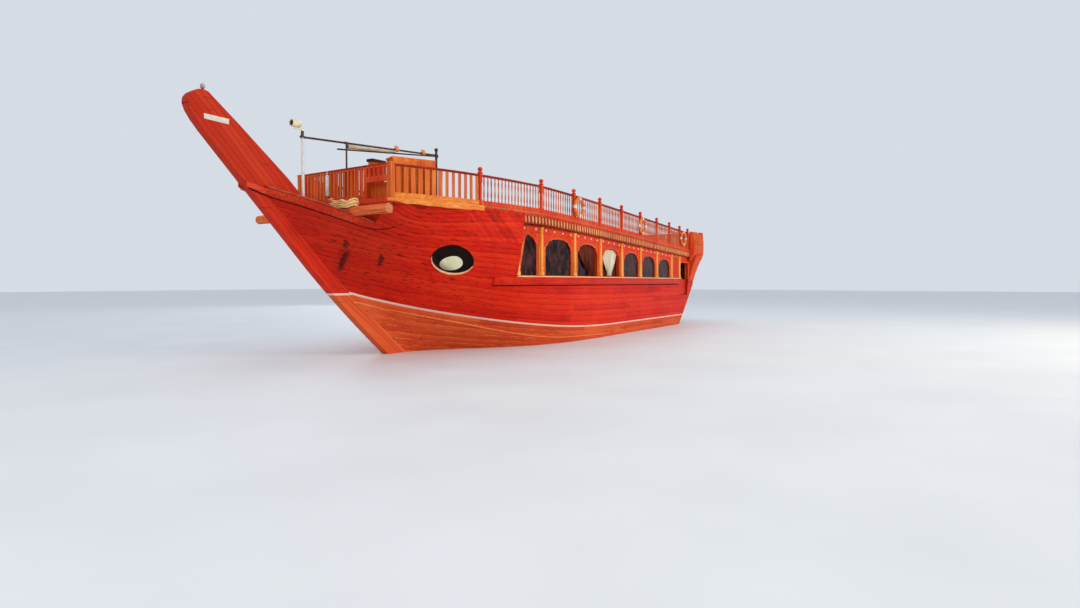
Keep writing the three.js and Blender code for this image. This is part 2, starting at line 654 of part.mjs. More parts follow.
// Rudder with its stock, turning on the heel pin
const bladeOutline = [
  [-8830, 0], [-8850, 34], [-8950, 60], [-9300, 46], [-9800, 12], [-9800, -12], [-9300, -46], [-8950, -60], [-8850, -34],
];
const blade = plate(bladeOutline, [], 1410, (x, y, w) => [x, y, -1470 + w]);
const stock = rod([RUDDER_X, 0, -200], [RUDDER_X, 0, 740], STOCK_RADIUS, 16);
const socket = rod([RUDDER_X, 0, -1600], [RUDDER_X, 0, BOTTOM_Z + 75 + SEAT], HEEL_PIN_RADIUS + 8);
add('rudder', cut(joined([blade, stock]), [socket]));

// Stern tube with the shaft, and the three-bladed propeller on it
const SHAFT_Z = -900;
const SHAFT_END_X = -8330;
add('stern_tube', joined([
  rod([DEADWOOD_END_X, 0, SHAFT_Z], [-8090, 0, SHAFT_Z], 80, 16),
  rod([-8080, 0, SHAFT_Z], [SHAFT_END_X, 0, SHAFT_Z], 30),
]));
const propBlades = [0, 1, 2].map((k) => {
  const g = plate(
    [[-70, 40], [70, 40], [150, 230], [90, 360], [-90, 360], [-150, 230]],
    [],
    20,
    (u, r, w) => [u, w - 10, r],
  );
  g.rotateZ(THREE.MathUtils.degToRad(58));
  g.rotateX((k * 2 * Math.PI) / 3);
  g.translate(-8260, 0, SHAFT_Z);
  return g;
});
const hub = rod([-8110, 0, SHAFT_Z], [-8420, 0, SHAFT_Z], 75, 18);
const hubBore = rod([-8050, 0, SHAFT_Z], [SHAFT_END_X - SEAT, 0, SHAFT_Z], 37, 14);
add('propeller', cut(joined([hub, ...propBlades]), [hubBore]));

// Finishes: colour, roughness and metalness
const FINISHES = {
  bottom_paint: [0xbf4a26, 0.7, 0],
  red_varnish: [0x8c2012, 0.32, 0],
  orange_varnish: [0xb8501f, 0.4, 0],
  pale_wood: [0xb98a5e, 0.5, 0],
  deck_wood: [0x8a6a4a, 0.75, 0],
  rough_timber: [0x6e4030, 0.7, 0],
  white_paint: [0xd8d4cc, 0.45, 0],
  canvas: [0xb8a58c, 0.9, 0],
  yellow_paint: [0xc9ae62, 0.5, 0],
  orange_skin: [0xd9622b, 0.5, 0],
  straw_rope: [0xc8a860, 0.95, 0],
  steel: [0x9a9a9a, 0.35, 0.9],
  bronze: [0xa9803c, 0.4, 0.9],
};
const bothSides = (...names) => names.flatMap((n) => [`${n}_port`, `${n}_starboard`]);
const FINISH_OF = {
  bottom_paint: ['hull_lower', 'keel', 'rudder'],
  red_varnish: [
    'stem', 'forepeak', 'transom',
    ...bothSides('topside_fore', 'topside_aft', 'bow_side', 'bulwark', 'wale', 'boarding_gate'),
  ],
  orange_varnish: [
    'front_rail', 'stern_gallery', 'helm_cabinet',
    ...bothSides(
      'window_wall_fore', 'window_wall_mid', 'window_wall_aft', 'bulwark_cap', 'valance_fore',
      'valance_aft', 'deck_rail_fore', 'deck_rail_aft', 'quarter_gallery',
    ),
  ],
  pale_wood: bothSides('sill_ledge', 'porthole_rim'),
  deck_wood: ['upper_deck_fore', 'upper_deck_aft'],
  rough_timber: ['cathead_beam'],
  white_paint: ['awning_frame'],
  canvas: ['awning_roll'],
  yellow_paint: ['searchlight'],
  orange_skin: bothSides('life_ring_fore', 'life_ring_mid', 'life_ring_aft'),
  straw_rope: ['rope_heap'],
  steel: ['stern_tube'],
  bronze: ['propeller'],
};

// Assemblies of the boat, and the points that the separate fittings are placed at
const ASSEMBLIES = {
  hull: [
    'hull_lower', 'keel', 'stem', 'forepeak', 'transom',
    ...bothSides('topside_fore', 'topside_aft', 'bow_side', 'wale', 'bulwark', 'bulwark_cap'),
  ],
  saloon: [
    'upper_deck_fore',
    'upper_deck_aft',
    ...bothSides(
      'window_wall_fore', 'window_wall_mid', 'window_wall_aft', 'sill_ledge', 'porthole_rim',
      'valance_fore', 'valance_aft', 'boarding_gate',
    ),
  ],
  deck_works: [
    'front_rail', 'stern_gallery', 'helm_cabinet',
    ...bothSides(
      'deck_rail_fore', 'deck_rail_aft', 'quarter_gallery', 'life_ring_fore', 'life_ring_mid', 'life_ring_aft',
    ),
  ],
  foredeck_gear: ['cathead_beam', 'awning_frame', 'awning_roll', 'searchlight', 'rope_heap'],
  running_gear: ['rudder', 'stern_tube', 'propeller'],
};
const PLACES = {
  rudder: [RUDDER_X, 0, 0],
  propeller: [-8260, 0, SHAFT_Z],
  boarding_gate_port: [GATE_AXIS_X, GATE_AXIS_Y, GATE_SILL_Z],
  boarding_gate_starboard: [GATE_AXIS_X, -GATE_AXIS_Y, GATE_SILL_Z],
  helm_cabinet: [9340, 1765, DECK_Z],
  cathead_beam: [BEAM_X, 0, beamZ],
  rope_heap: [BEAM_X, 770, beamZ],
};

const boat = new THREE.Group();
boat.name = 'dhow';
for (const [title, names] of Object.entries(ASSEMBLIES)) {
  const assembly = new THREE.Group();
  assembly.name = title;
  boat.add(assembly);
  for (const name of names) {
    const [, geometry] = parts.find(([n]) => n === name);
    const [finish] = Object.entries(FINISH_OF).find(([, list]) => list.includes(name));
    const [color, roughness, metalness] = FINISHES[finish];
    const place = PLACES[name] ?? [0, 0, 0];
    const body = welded(geometry).translate(-place[0], -place[1], -place[2]);
    const mesh = new THREE.Mesh(body, new THREE.MeshStandardMaterial({ color, roughness, metalness }));
    mesh.name = name;
    mesh.position.set(...place);
    assembly.add(mesh);
  }
}

export default boat;
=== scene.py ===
import math

import bmesh
import bpy
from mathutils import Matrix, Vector


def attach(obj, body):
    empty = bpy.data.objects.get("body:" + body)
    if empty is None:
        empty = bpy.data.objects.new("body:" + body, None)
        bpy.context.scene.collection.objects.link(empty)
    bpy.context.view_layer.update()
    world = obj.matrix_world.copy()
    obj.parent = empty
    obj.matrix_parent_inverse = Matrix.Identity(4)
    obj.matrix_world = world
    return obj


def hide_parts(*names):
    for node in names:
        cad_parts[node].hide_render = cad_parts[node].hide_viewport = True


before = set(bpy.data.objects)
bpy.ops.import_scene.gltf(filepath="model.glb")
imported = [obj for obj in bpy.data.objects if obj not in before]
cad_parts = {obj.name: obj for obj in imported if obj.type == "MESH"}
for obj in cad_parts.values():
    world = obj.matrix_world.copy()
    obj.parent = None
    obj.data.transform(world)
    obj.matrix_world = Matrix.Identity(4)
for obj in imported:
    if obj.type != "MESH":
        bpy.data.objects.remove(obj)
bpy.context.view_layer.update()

# Where the boat is seen from: off her port bow, with the eye at a person's height over the water.
# She floats, so the pale floor lies at her waterline, and the main light is a low evening one from her port side.
EYE_AT = Vector((21.608, 14.25, 2.1))
LOOK_FLAT = (-0.8271, -0.5621)
LOOK_DOWN = math.radians(1.97)
SENSOR_WIDE, LENS_LONG, SEES_TO = 36, 21.333, 400
aim = Vector((LOOK_FLAT[0] * math.cos(LOOK_DOWN), LOOK_FLAT[1] * math.cos(LOOK_DOWN), -math.sin(LOOK_DOWN)))
camera = bpy.data.objects.new("camera", bpy.data.cameras.new("camera"))
camera.data.sensor_width, camera.data.lens, camera.data.clip_end = SENSOR_WIDE, LENS_LONG, SEES_TO
camera.location = EYE_AT
camera.rotation_euler = aim.to_track_quat("-Z", "Y").to_euler()
bpy.context.scene.collection.objects.link(camera)
bpy.context.scene.camera = camera
bpy.context.scene.view_settings.view_transform = "Standard"


def softbox(name, place, target, size, power, tint):
    light = bpy.data.lights.new(name, "AREA")
    light.shape, light.size, light.energy, light.color = "DISK", size, power, tint
    holder = bpy.data.objects.new(name, light)
    holder.location = place
    holder.rotation_euler = (Vector(target) - Vector(place)).to_track_quat("-Z", "Y").to_euler()
    bpy.context.scene.collection.objects.link(holder)


softbox("evening_sun", (-6, 36, 12), (1, 0, 2.5), 8, 5900, (1.0, 0.88, 0.70))
softbox("bow_fill", (34, 18, 15), (5, 0, 2), 16, 1900, (1.0, 0.94, 0.88))
softbox("top_fill", (0, -4, 30), (0, 0, 2), 24, 1300, (0.94, 0.97, 1.0))
softbox("far_fill", (-20, -30, 14), (0, 0, 2), 18, 1300, (0.95, 0.97, 1.0))
world = bpy.data.worlds.new("studio")
world.use_nodes = True
SKY_COLOUR, SKY_STRENGTH = (0.86, 0.92, 1.0, 1), 0.78
sky = world.node_tree.nodes["Background"].inputs
sky["Color"].default_value, sky["Strength"].default_value = SKY_COLOUR, SKY_STRENGTH
bpy.context.scene.world = world


# The hull's planking: long strakes of hardwood nailed to the frames, from the keel up to the sill line
# amidships and up to the deck and the foredeck bulwark at the bow. Above the white boot stripe it is
# varnished deep red over old tar; below it an orange-red antifouling has faded.
SIDES = (("port", 1), ("starboard", -1))
SKIN_OUT, SKIN_THICK = 0.02, 0.03
UNDER_DECK, DECK_FRONT = 4.128, 10.32
SILL_Z, BOW_END, FLARE_TOP = 2.25, 5.8, 4.2
BOTTOM, SIDE, BOW, SHOULDER = 16, 9, 6, 7
SILL_ROW, DECK_ROW = BOTTOM + SIDE, BOTTOM + SIDE + BOW
STRAKE_EDGE = -0.009
STRAKE_ROWS = ((0, STRAKE_EDGE), (0.07, 0), (0.5, 0.003), (0.93, 0))
GLINT, RELIEF, SETTLING = 0.09, 0.7, 14


class Field:
    """One output in a finish's node tree. Arithmetic on it adds Math nodes."""

    def __init__(self, tree, socket):
        self.tree, self.socket = tree, socket

    def node(self, kind, settings=None, out=0, **inputs):
        made = self.tree.nodes.new(kind)
        for name, value in (settings or {}).items():
            if name == "stops":
                for k, (at, colour) in enumerate(value):
                    stop = made.color_ramp.elements[k] if k < 2 else made.color_ramp.elements.new(at)
                    stop.position, stop.color = at, (*colour, 1)
            else:
                setattr(made, name, value)
        for name, value in inputs.items():
            socket = made.inputs[int(name[1:])] if name[0] == "_" else made.inputs[name.replace("_", " ")]
            if isinstance(value, Field):
                self.tree.links.new(value.socket, socket)
            else:
                socket.default_value = value
        return Field(self.tree, made.outputs[out])

    def math(self, operation, *others):
        values = {f"_{k}": v for k, v in enumerate((self, *others))}
        return self.node("ShaderNodeMath", {"operation": operation}, **values)

    def __add__(self, other):
        return self.math("ADD", other)

    def __mul__(self, other):
        return self.math("MULTIPLY", other)

    def __sub__(self, other):
        return self.math("SUBTRACT", other)

    def __rsub__(self, other):
        return self.node("ShaderNodeMath", {"operation": "SUBTRACT"}, _0=other, _1=self)

    __radd__, __rmul__ = __add__, __mul__

    def step(self, low, high, to_low=0.0, to_high=1.0):
        """Smooth rise from to_low to to_high as the value goes from low to high."""
        return self.node(
            "ShaderNodeMapRange", {"interpolation_type": "SMOOTHSTEP"},
            _0=self, _1=low, _2=high, _3=to_low, _4=to_high,
        )

    def ramp(self, *stops):
        return self.node("ShaderNodeValToRGB", {"stops": stops}, _0=self)

    def mixed(self, share, other):
        """This colour with a share of another colour over it."""
        other = other if isinstance(other, Field) else (*other, 1)
        return self.node("ShaderNodeMix", {"data_type": "RGBA"}, out=2, _0=share, _6=self, _7=other)

    def stretched(self, *scale):
        return self.node("ShaderNodeMapping", _0=self, _3=scale)

    def noise(self, scale=1.0, detail=4.0, rough=0.55):
        return self.node("ShaderNodeTexNoise", _0=self, Scale=scale, Detail=detail, Roughness=rough)

    def axis(self, k):
        """This vector's X, Y or Z, for k of 0, 1 or 2."""
        return self.node("ShaderNodeSeparateXYZ", out=k, _0=self)

    def uv(self, name):
        return self.node("ShaderNodeUVMap", {"uv_map": name})

    def joints(self, low, high):
        """Thin lines wherever this value is a whole number: none up to low, full from high, 0.5 at the middle."""
        return (self.math("FRACT") - 0.5).math("ABSOLUTE").step(low, high)

    def tossed(self):
        """A random number from 0 to 1 for each value."""
        return self.node("ShaderNodeTexWhiteNoise", {"noise_dimensions": "1D"}, W=self)


def finish(name):
    """An empty finish: its material, its shader and its Object coordinates."""
    paint = bpy.data.materials.new(name)
    paint.use_nodes = True
    shader = paint.node_tree.nodes["Principled BSDF"]
    shader.inputs["Specular IOR Level"].default_value = GLINT
    first = paint.node_tree.nodes.new("ShaderNodeTexCoord")
    return paint, shader, Field(paint.node_tree, first.outputs["Object"])


def feed(shader, colour=None, rough=None, bump=None, bump_height=0.01, **numbers):
    """Joins a finish's fields to its shader and sets its plain numbers."""
    links = shader.id_data.links
    if colour is not None:
        links.new(colour.socket, shader.inputs["Base Color"])
    if rough is not None:
        links.new(rough.socket, shader.inputs["Roughness"])
    if bump is not None:
        relief = bump.node("ShaderNodeBump", Height=bump, Distance=bump_height, Strength=RELIEF)
        links.new(relief.socket, shader.inputs["Normal"])
    for name, value in numbers.items():
        shader.inputs[name.replace("_", " ")].default_value = value


def settled(obj):
    """The piece with its modifiers made part of its mesh."""
    bpy.context.view_layer.update()
    solid = bpy.data.meshes.new_from_object(obj.evaluated_get(bpy.context.evaluated_depsgraph_get()))
    obj.modifiers.clear()
    old, obj.data = obj.data, solid
    bpy.data.meshes.remove(old)
    return obj


def linked(name, mesh, paint=None):
    obj = bpy.data.objects.new(name, mesh)
    bpy.context.scene.collection.objects.link(obj)
    if paint:
        mesh.materials.clear()
        mesh.materials.append(paint)
    return obj


def placed(obj, slot, *nodes, body="hull", smooth=35):
    """Fixes a finished piece to its body, smooths its shading and hides the CAD nodes it stands in for; the slot
    is not used.
    """
    obj.data.shade_smooth()
    obj.data.set_sharp_from_angle(angle=math.radians(smooth))
    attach(obj, body)
    if nodes:
        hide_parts(*nodes)
    return obj


def shaped(name, vertices, faces, paint):
    mesh = bpy.data.meshes.new(name)
    mesh.from_pydata([tuple(v) for v in vertices], [], faces)
    mesh.update()
    return linked(name, mesh, paint)


def lofted(rings, closed_ends=True, round_trip=False):
    """Vertices and faces through a row of rings that hold the same number of points."""
    n, count = len(rings[0]), len(rings)
    vertices = [point for ring in rings for point in ring]
    faces = []
    for i in range(count if round_trip else count - 1):
        a, b = i * n, ((i + 1) % count) * n
        faces += [(a + j, a + (j + 1) % n, b + (j + 1) % n, b + j) for j in range(n)]
    if closed_ends and not round_trip:
        faces += [tuple(range(n))[::-1], tuple((count - 1) * n + j for j in range(n))]
    return vertices, faces


def outward(obj):
    """Turns a closed piece's faces outwards."""
    bm = bmesh.new()
    bm.from_mesh(obj.data)
    bmesh.ops.remove_doubles(bm, verts=bm.verts, dist=1e-5)
    bmesh.ops.recalc_face_normals(bm, faces=bm.faces)
    bm.to_mesh(obj.data)
    bm.free()
    return obj


def lerp(a, b, t):
    return a + (b - a) * t


def clamp(value, low, high):
    return min(max(value, low), high)


def stem_x(z):
    if z < 0:
        return 8.7 + 1.16 * z - 0.5 * z * z
    if z < 2.9:
        return 8.7 + 1.16 * z - 0.045 * z * z
    return 8.7 + 2.98555 + 0.905 * (z - 2.9)


def stem_aft(z):
    return stem_x(z) - (0.72 - 0.09 * max(z, 0))


def stern_x(z):
    return lerp(-7.95, -8.75, clamp((z + 0.48) / 0.06, 0, 1)) - 0.85 * clamp(z, 0, 2)


def half(x, z):
    """Half breadth of the planking."""
    t = clamp(z / FLARE_TOP, 0, 1.15)
    beam = 2.68 + 0.42 * t**0.8
    reach = 2.87 - 0.37 * t
    s = max(stem_aft(z) - x, 0)
    full = 0.14 + (beam - 0.14) * (1 - math.exp(-((s / reach) ** (1.8 - 0.67 * t))))
    d = 3 - x
    y = full * (1 - 0.0215 * (d + math.sqrt(d * d + 4)) / 2)
    if z >= 0:
        return y
    run = clamp((-2 - x) / 6.75, 0, 1)
    depth = 1.4 - 1.15 * run**1.5
    bilge = 2.3 - 1.1 * clamp((x - 1) / 5, 0, 1) - 0.6 * run
    return max(0.11, y * (1 - clamp(-z / depth, 0, 1) ** bilge) ** 0.7)


def deck_z(x):
    return 4.25 - 0.0378 * max(4.9 - x, 0)


def cap_z(x):
    return 3.75 + 0.36 * (x - 10.55) - 0.018 * (x - 10.55) ** 2


def stripe_z(x):
    """Lower edge of the white boot stripe."""
    return 0.445 + 1.3 * (max(x + 1, 0) / 10.99) ** 2.39


def sill_line_z(x):
    return SILL_Z if x <= BOW_END else stripe_z(x) + 1.42 - 0.088 * (x - BOW_END)


def sheer_line_z(x):
    if x >= 9.8:
        return cap_z(x) - 0.07
    return 3.4 - 0.155 * (1 - math.exp(-(9.8 - x) / 0.4))


def strake_z(x, v):
    """Height of strake line v, counted up from the keel."""
    if v <= BOTTOM:
        return lerp(-1.5, stripe_z(x), v / BOTTOM)
    if v <= SILL_ROW:
        return lerp(stripe_z(x), sill_line_z(x), (v - BOTTOM) / SIDE)
    return lerp(sill_line_z(x), sheer_line_z(x), (v - SILL_ROW) / BOW)


def strakes(first, last, columns, front, back):
    """A field of planking between two strake lines: its rows of (x, y, z, v)."""
    rows = [(v + f, out) for v in range(first, last) for f, out in STRAKE_ROWS] + [(last, STRAKE_EDGE)]
    field = []
    for v, out in rows:
        line = []
        for c in range(columns + 1):
            s, z = c / columns, 0
            for _ in range(SETTLING):
                x = lerp(back(z), front(z), s)
                z = strake_z(x, v)
            edge = clamp((stem_aft(z) - x) / 0.12, 0.2, 1)
            swell = 0.03 * math.exp(-(((x - 9.0) / 0.5) ** 2) - ((z - 1.5) / 0.3) ** 2)
            line.append((x, half(x, z) + SKIN_OUT * edge + out * edge + swell, z, v))
        field.append(line)
    return field


def planking(name, side, field, paint):
    bm = bmesh.new()
    strake_map = bm.loops.layers.uv.new("strake")
    rise_map = bm.loops.layers.uv.new("rise")
    marks, grid = {}, []
    for line in field:
        row = []
        for x, y, z, v in line:
            low = min(z, UNDER_DECK) if x < DECK_FRONT else z
            vertex = bm.verts.new((x, y * side, low))
            marks[vertex] = (x, v, z - stripe_z(x))
            row.append(vertex)
        grid.append(row)
    for low, high in zip(grid, grid[1:]):
        for a, b, c, d in zip(low, low[1:], high[1:], high):
            face = bm.faces.new((a, b, c, d) if side < 0 else (d, c, b, a))
            for loop in face.loops:
                x, v, rise = marks[loop.vert]
                loop[strake_map].uv = (x, v)
                loop[rise_map].uv = (x, rise)
    flat = [f for f in bm.faces if f.calc_area() < 1e-6]
    bmesh.ops.delete(bm, geom=flat, context="FACES")
    mesh = bpy.data.meshes.new(name)
    bm.to_mesh(mesh)
    bm.free()
    obj = linked(name, mesh, paint)
    shell = obj.modifiers.new("thickness", "SOLIDIFY")
    shell.thickness, shell.offset = SKIN_THICK, -1
    return obj


EYE_X, EYE_Z, EYE_WIDE, EYE_TALL = 8.07, 2.72, 0.62, 0.39


def eye_outline(grow, count=48):
    """The hawse port's outline in X and Z, made larger all round by grow."""
    points = []
    for i in range(count):
        a = i / count * 2 * math.pi
        c = math.cos(a)
        dx = (EYE_WIDE + grow) * math.copysign(abs(c) ** 0.85, c)
        points.append((EYE_X + dx, EYE_Z + (EYE_TALL + grow) * math.sin(a) * (1 - 0.12 * abs(c)) + 0.2 * dx))
    return points


def cut_out(outline, side, y0, y1):
    """The solid that cuts an opening of that outline in X and Z through a side of the boat."""
    rings = [[(x, y * side, z) for x, z in outline] for y in (y0, y1)]
    return outward(shaped("tool", *lofted(rings), None))


def boot_stripe(rise):
    """Shares above the white stripe's lower edge and on the stripe itself."""
    above = rise.step(-0.003, 0.003)
    return above, above * rise.step(0.052, 0.058, 1.0, 0.0)


planks, shader, where = finish("hull_planks")
strake_uv = where.uv("strake")
rise_uv = where.uv("rise")
along = strake_uv.axis(0)
strake = strake_uv.axis(1)
rise = rise_uv.axis(1)
strake_no = strake.math("FLOOR")
shift = strake_no.tossed()
length = along * 0.21 + shift * 9.0
plank_no = length.math("FLOOR") * 13.7 + strake_no * 3.1
tint = plank_no.tossed()
x_at, z_at = (where.axis(k) for k in (0, 2))
fan = x_at.step(8.1, 7.95) * z_at.step(3.26, 3.32)
slant = (x_at * 0.625 - z_at * 0.78) * 5.4
slant_seam = slant.joints(0.40, 0.49) * fan
slant_tint = (slant.math("FLOOR") * 3.7).tossed() - 0.5
seam = strake.joints(0.42, 0.49) * (1 - fan)
seam_dashes = rise_uv.stretched(1.3, 5, 1).noise(2.0, 4.0, 0.65).step(0.46, 0.60)
butt = length.joints(0.4965, 0.499) * (1 - fan)
grain = rise_uv.stretched(0.9, 30, 1).noise(1.3, 6.0, 0.65)
streak = rise_uv.stretched(0.5, 6, 1).noise(1.9, 4.0, 0.6)
above, stripe = boot_stripe(rise)
cloud = where.noise(0.45, 4.0, 0.6)
tone = grain * 0.5 + streak * 0.35 + tint * 0.20 + (cloud - 0.5) * 0.5 + slant_tint * fan * 0.2 - 0.04
tone = tone + (where.stretched(5.0, 5.0, 14.0).noise(2.0, 5.0, 0.7) - 0.5) * 0.55
red = tone.ramp((0.2, (0.30, 0.006, 0.002)), (0.45, (0.62, 0.012, 0.003)), (0.8, (0.76, 0.045, 0.009)))
faded = tone.ramp((0.2, (0.38, 0.030, 0.008)), (0.5, (0.62, 0.075, 0.018)), (0.8, (0.78, 0.16, 0.05)))
scars = rise_uv.stretched(2.6, 15, 1).noise(1.0, 5.0, 0.72).step(0.575, 0.64)
nicks = rise_uv.stretched(4.2, 21, 1).noise(1.1, 3.0, 0.6).step(0.60, 0.66)
nicks_here = along.step(6.0, 9.0, 0.12, 1.0) * rise.step(2.3, 1.2, 0.25, 1.0)
gold = rise_uv.stretched(1.6, 19, 1).noise(1.7, 5.0, 0.7).step(0.64, 0.71)
tar = rise_uv.stretched(0.55, 0.8, 1).noise(1.15, 7.0, 0.66).step(0.62, 0.68)
gold_here = along.step(8.5, 4.5, 0.12, 1.0) * rise.step(1.5, 0.9, 0.3, 1.0)
at_bow = along.step(5.0, 9.5, 0.35, 1.0)
rub = where.stretched(1, 1, 0.6).noise(9.0, 6.0, 0.75) * 0.34 - 0.17
TAR_MARKS = ((10.52, 2.66, 0.10, 0.34, 0.13), (10.64, 3.08, 0.2, 0.12, 0.06), (9.76, 2.67, 0.2, 0.18, 0.07))
smears = 0
for x, z, lean, reach, wide in TAR_MARKS:
    side_on, up_on = (x_at - x) - (z_at - z) * lean, z_at - z
    mark = (side_on + rub).math("ABSOLUTE").step(wide, wide * 0.15)
    smears = mark * (up_on + rub).math("ABSOLUTE").step(reach, reach * 0.5) + smears
red = red.mixed(scars * at_bow * 0.9 + nicks * nicks_here * 0.9, (0.05, 0.004, 0.003))
red = red.mixed(gold * gold_here * 0.6, (0.80, 0.22, 0.04))
red = red.mixed(along.step(8.2, 10.8) * (0.25 + streak * 0.5), (0.34, 0.012, 0.006))
red = red.mixed(tar * along.step(7.5, 9.6) * 0.8, (0.04, 0.005, 0.004))
red = red.mixed(smears.math("MINIMUM", 1.0) * 0.85, (0.035, 0.005, 0.004))
red = red.mixed(slant_seam * (0.10 + seam_dashes * 0.35), (0.76, 0.14, 0.035))
faded = faded.mixed(scars * 0.25, (0.26, 0.02, 0.010)).mixed(gold * 0.4, (0.85, 0.33, 0.14))
# Below the stripe the seams are broken pale orange lines: a painted highlight of the lit plank edges.
faded = faded.mixed(seam * seam_dashes * 0.6, (0.88, 0.34, 0.15))
colour = faded.mixed(above, red).mixed(seam * (0.12 + seam_dashes * 0.5) * above + butt * 0.4, (0.08, 0.005, 0.003))
chipped = rise_uv.stretched(1.4, 9, 1).noise(2.0, 5.0, 0.7).step(0.66, 0.7, 1.0, 0.35)
colour = colour.mixed(stripe * chipped, (0.80, 0.60, 0.50))
feed(shader, colour, streak.step(0.3, 0.7, 0.42, 0.62), grain * 0.35 - seam * 0.6 - slant_seam * 0.4 - scars * 0.4,
     0.005)

GATE_FORE, GATE_AFT, GATE_FOOT = -8.395, -9.705, 1.447
FIELDS = {
    "side": strakes(0, SILL_ROW, 110, stem_aft, stern_x),
    "bow": strakes(SILL_ROW, DECK_ROW, 34, stem_aft, lambda z: BOW_END),
    "shoulder": strakes(DECK_ROW, DECK_ROW + SHOULDER, 24, lambda z: 10.3, lambda z: BOW_END),
}
for label, side in SIDES:
    gate = [(x, z) for x, z in ((GATE_AFT, GATE_FOOT), (GATE_FORE, GATE_FOOT), (GATE_FORE, 2.6), (GATE_AFT, 2.6))]
    tools = [cut_out(gate, side, 1.2, 3.2), cut_out(eye_outline(0.002), side, 0.6, 3.2)]
    for part, field in FIELDS.items():
        skin = planking(f"planking_{part}_{label}", side, field, planks)
        for tool in {"side": tools, "bow": tools[1:], "shoulder": []}[part]:
            knife = skin.modifiers.new("opening", "BOOLEAN")
            knife.object, knife.operation, knife.solver = tool, "DIFFERENCE", "MANIFOLD"
        placed(settled(skin), "red_planking")
    for tool in tools:
        bpy.data.objects.remove(tool)

# The inner hull shows through the windows, from astern and on the foredeck: plain boards under the same
# varnish, with the floor and the foredeck laid in bare planks and the bottom in the faded orange.
inner_hull, shader, where = finish("inner_hull")
x_at, y_at, z_at = (where.axis(k) for k in range(3))
facing = where.node("ShaderNodeNewGeometry", out=1)
up = facing.axis(2)
grain = where.stretched(0.6, 14, 14).noise(1.5, 6.0, 0.6)
red = grain.ramp((0.25, (0.20, 0.006, 0.003)), (0.55, (0.48, 0.014, 0.005)), (0.8, (0.62, 0.04, 0.012)))
boards = grain.ramp((0.25, (0.10, 0.035, 0.018)), (0.55, (0.26, 0.11, 0.055)), (0.8, (0.38, 0.19, 0.10)))
low = grain.ramp((0.25, (0.36, 0.03, 0.012)), (0.55, (0.60, 0.07, 0.028)), (0.8, (0.74, 0.15, 0.06)))
lie = (y_at * 7.0).joints(0.455, 0.49)
stand = (z_at * 6.0).joints(0.455, 0.49)
flat = up.step(0.75, 0.9)
stripe = z_at.step(0.446, 0.45) * z_at.step(0.502, 0.506, 1.0, 0.0)
seam = flat * lie + (1 - flat) * stand
colour = low.mixed(z_at.step(0.44, 0.45), red).mixed(flat, boards).mixed(seam * 0.7, (0.04, 0.006, 0.004))
colour = colour.mixed(stripe * (1 - flat), (0.78, 0.58, 0.49))
feed(shader, colour, grain.step(0.3, 0.7, 0.4, 0.62), grain * 0.3 - seam, 0.005)


def dress(paint, *nodes):
    """Gives CAD nodes a finish of their own."""
    for name in nodes:
        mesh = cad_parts[name].data
        mesh.materials.clear()
        mesh.materials.append(paint)


PAIRED = ("topside_fore", "topside_aft", "bow_side", "bulwark")
dress(inner_hull, "hull_lower", "forepeak", *(f"{part}_{label}" for part in PAIRED for label, _ in SIDES))

# The stem: two thick hardwood timbers bolted side by side and faced with long planks that run up to the
# head. Its head is rounded, carries a turned knob, and has one small bare plate near the top.
STEM_STRIPE_Z = 1.74
stem_wood, shader, where = finish("stem_wood")
board_uv = where.uv("board")
across = board_uv.axis(0)
z_at = where.axis(2)
board = across * 7.2 + board_uv.stretched(1, 0.5, 1).noise(1.1, 2.0) * 0.5
seam = board.joints(0.43, 0.49)
tint = (board.math("FLOOR") * 5.3).tossed()
joint = z_at * 0.43 + tint * 4.0
butt = joint.joints(0.494, 0.498)
grain = board_uv.stretched(26, 1.1, 1).noise(1.4, 6.0, 0.65)
streak = board_uv.stretched(7, 0.6, 1).noise(1.6, 4.0, 0.6)
tone = grain * 0.45 + streak * 0.4 + tint * 0.3 - 0.08
rise = z_at - STEM_STRIPE_Z
red = tone.ramp((0.2, (0.32, 0.008, 0.003)), (0.5, (0.62, 0.022, 0.005)), (0.8, (0.76, 0.07, 0.016)))
faded = tone.ramp((0.2, (0.50, 0.055, 0.014)), (0.5, (0.70, 0.10, 0.025)), (0.8, (0.82, 0.19, 0.06)))
scars = board_uv.stretched(9, 1.2, 1).noise(1.2, 5.0, 0.7).step(0.62, 0.7)
above, stripe = boot_stripe(rise)
red = red.mixed(z_at.step(2.6, 5.2, 0.0, 0.45) * (0.5 + streak), (0.36, 0.030, 0.010))
colour = faded.mixed(above, red).mixed(seam * 0.6 + butt * 0.5 + scars * 0.5, (0.09, 0.006, 0.004))
colour = colour.mixed(stripe * 0.92, (0.78, 0.58, 0.49)).mixed(z_at.step(6.392, 6.402), (0.40, 0.36, 0.34))
feed(shader, colour, streak.step(0.3, 0.7, 0.5, 0.68), grain * 0.35 - seam, 0.006)


def copied(name, node, paint, bevel=0.0, rounds=2, flat=3.0):
    """A copy of a CAD node's mesh with its corners eased."""
    bm = bmesh.new()
    bm.from_mesh(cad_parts[node].data)
    bmesh.ops.remove_doubles(bm, verts=bm.verts, dist=2e-5)
    bmesh.ops.dissolve_limit(bm, angle_limit=math.radians(flat), verts=bm.verts, edges=bm.edges)
    mesh = bpy.data.meshes.new(name)
    bm.to_mesh(mesh)
    bm.free()
    obj = linked(name, mesh, paint)
    if bevel:
        edge = obj.modifiers.new("eased", "BEVEL")
        edge.width, edge.segments, edge.limit_method, edge.angle_limit = bevel, rounds, "ANGLE", math.radians(28)
        edge.harden_normals = False
        settled(obj)
    return obj


def wrapped(obj, name, rule):
    """Gives a piece a UV map from a rule on each point."""
    layer = obj.data.uv_layers.new(name=name)
    for loop in obj.data.loops:
        layer.data[loop.index].uv = rule(obj.data.vertices[loop.vertex_index].co)
    obj.data.update()
    return obj


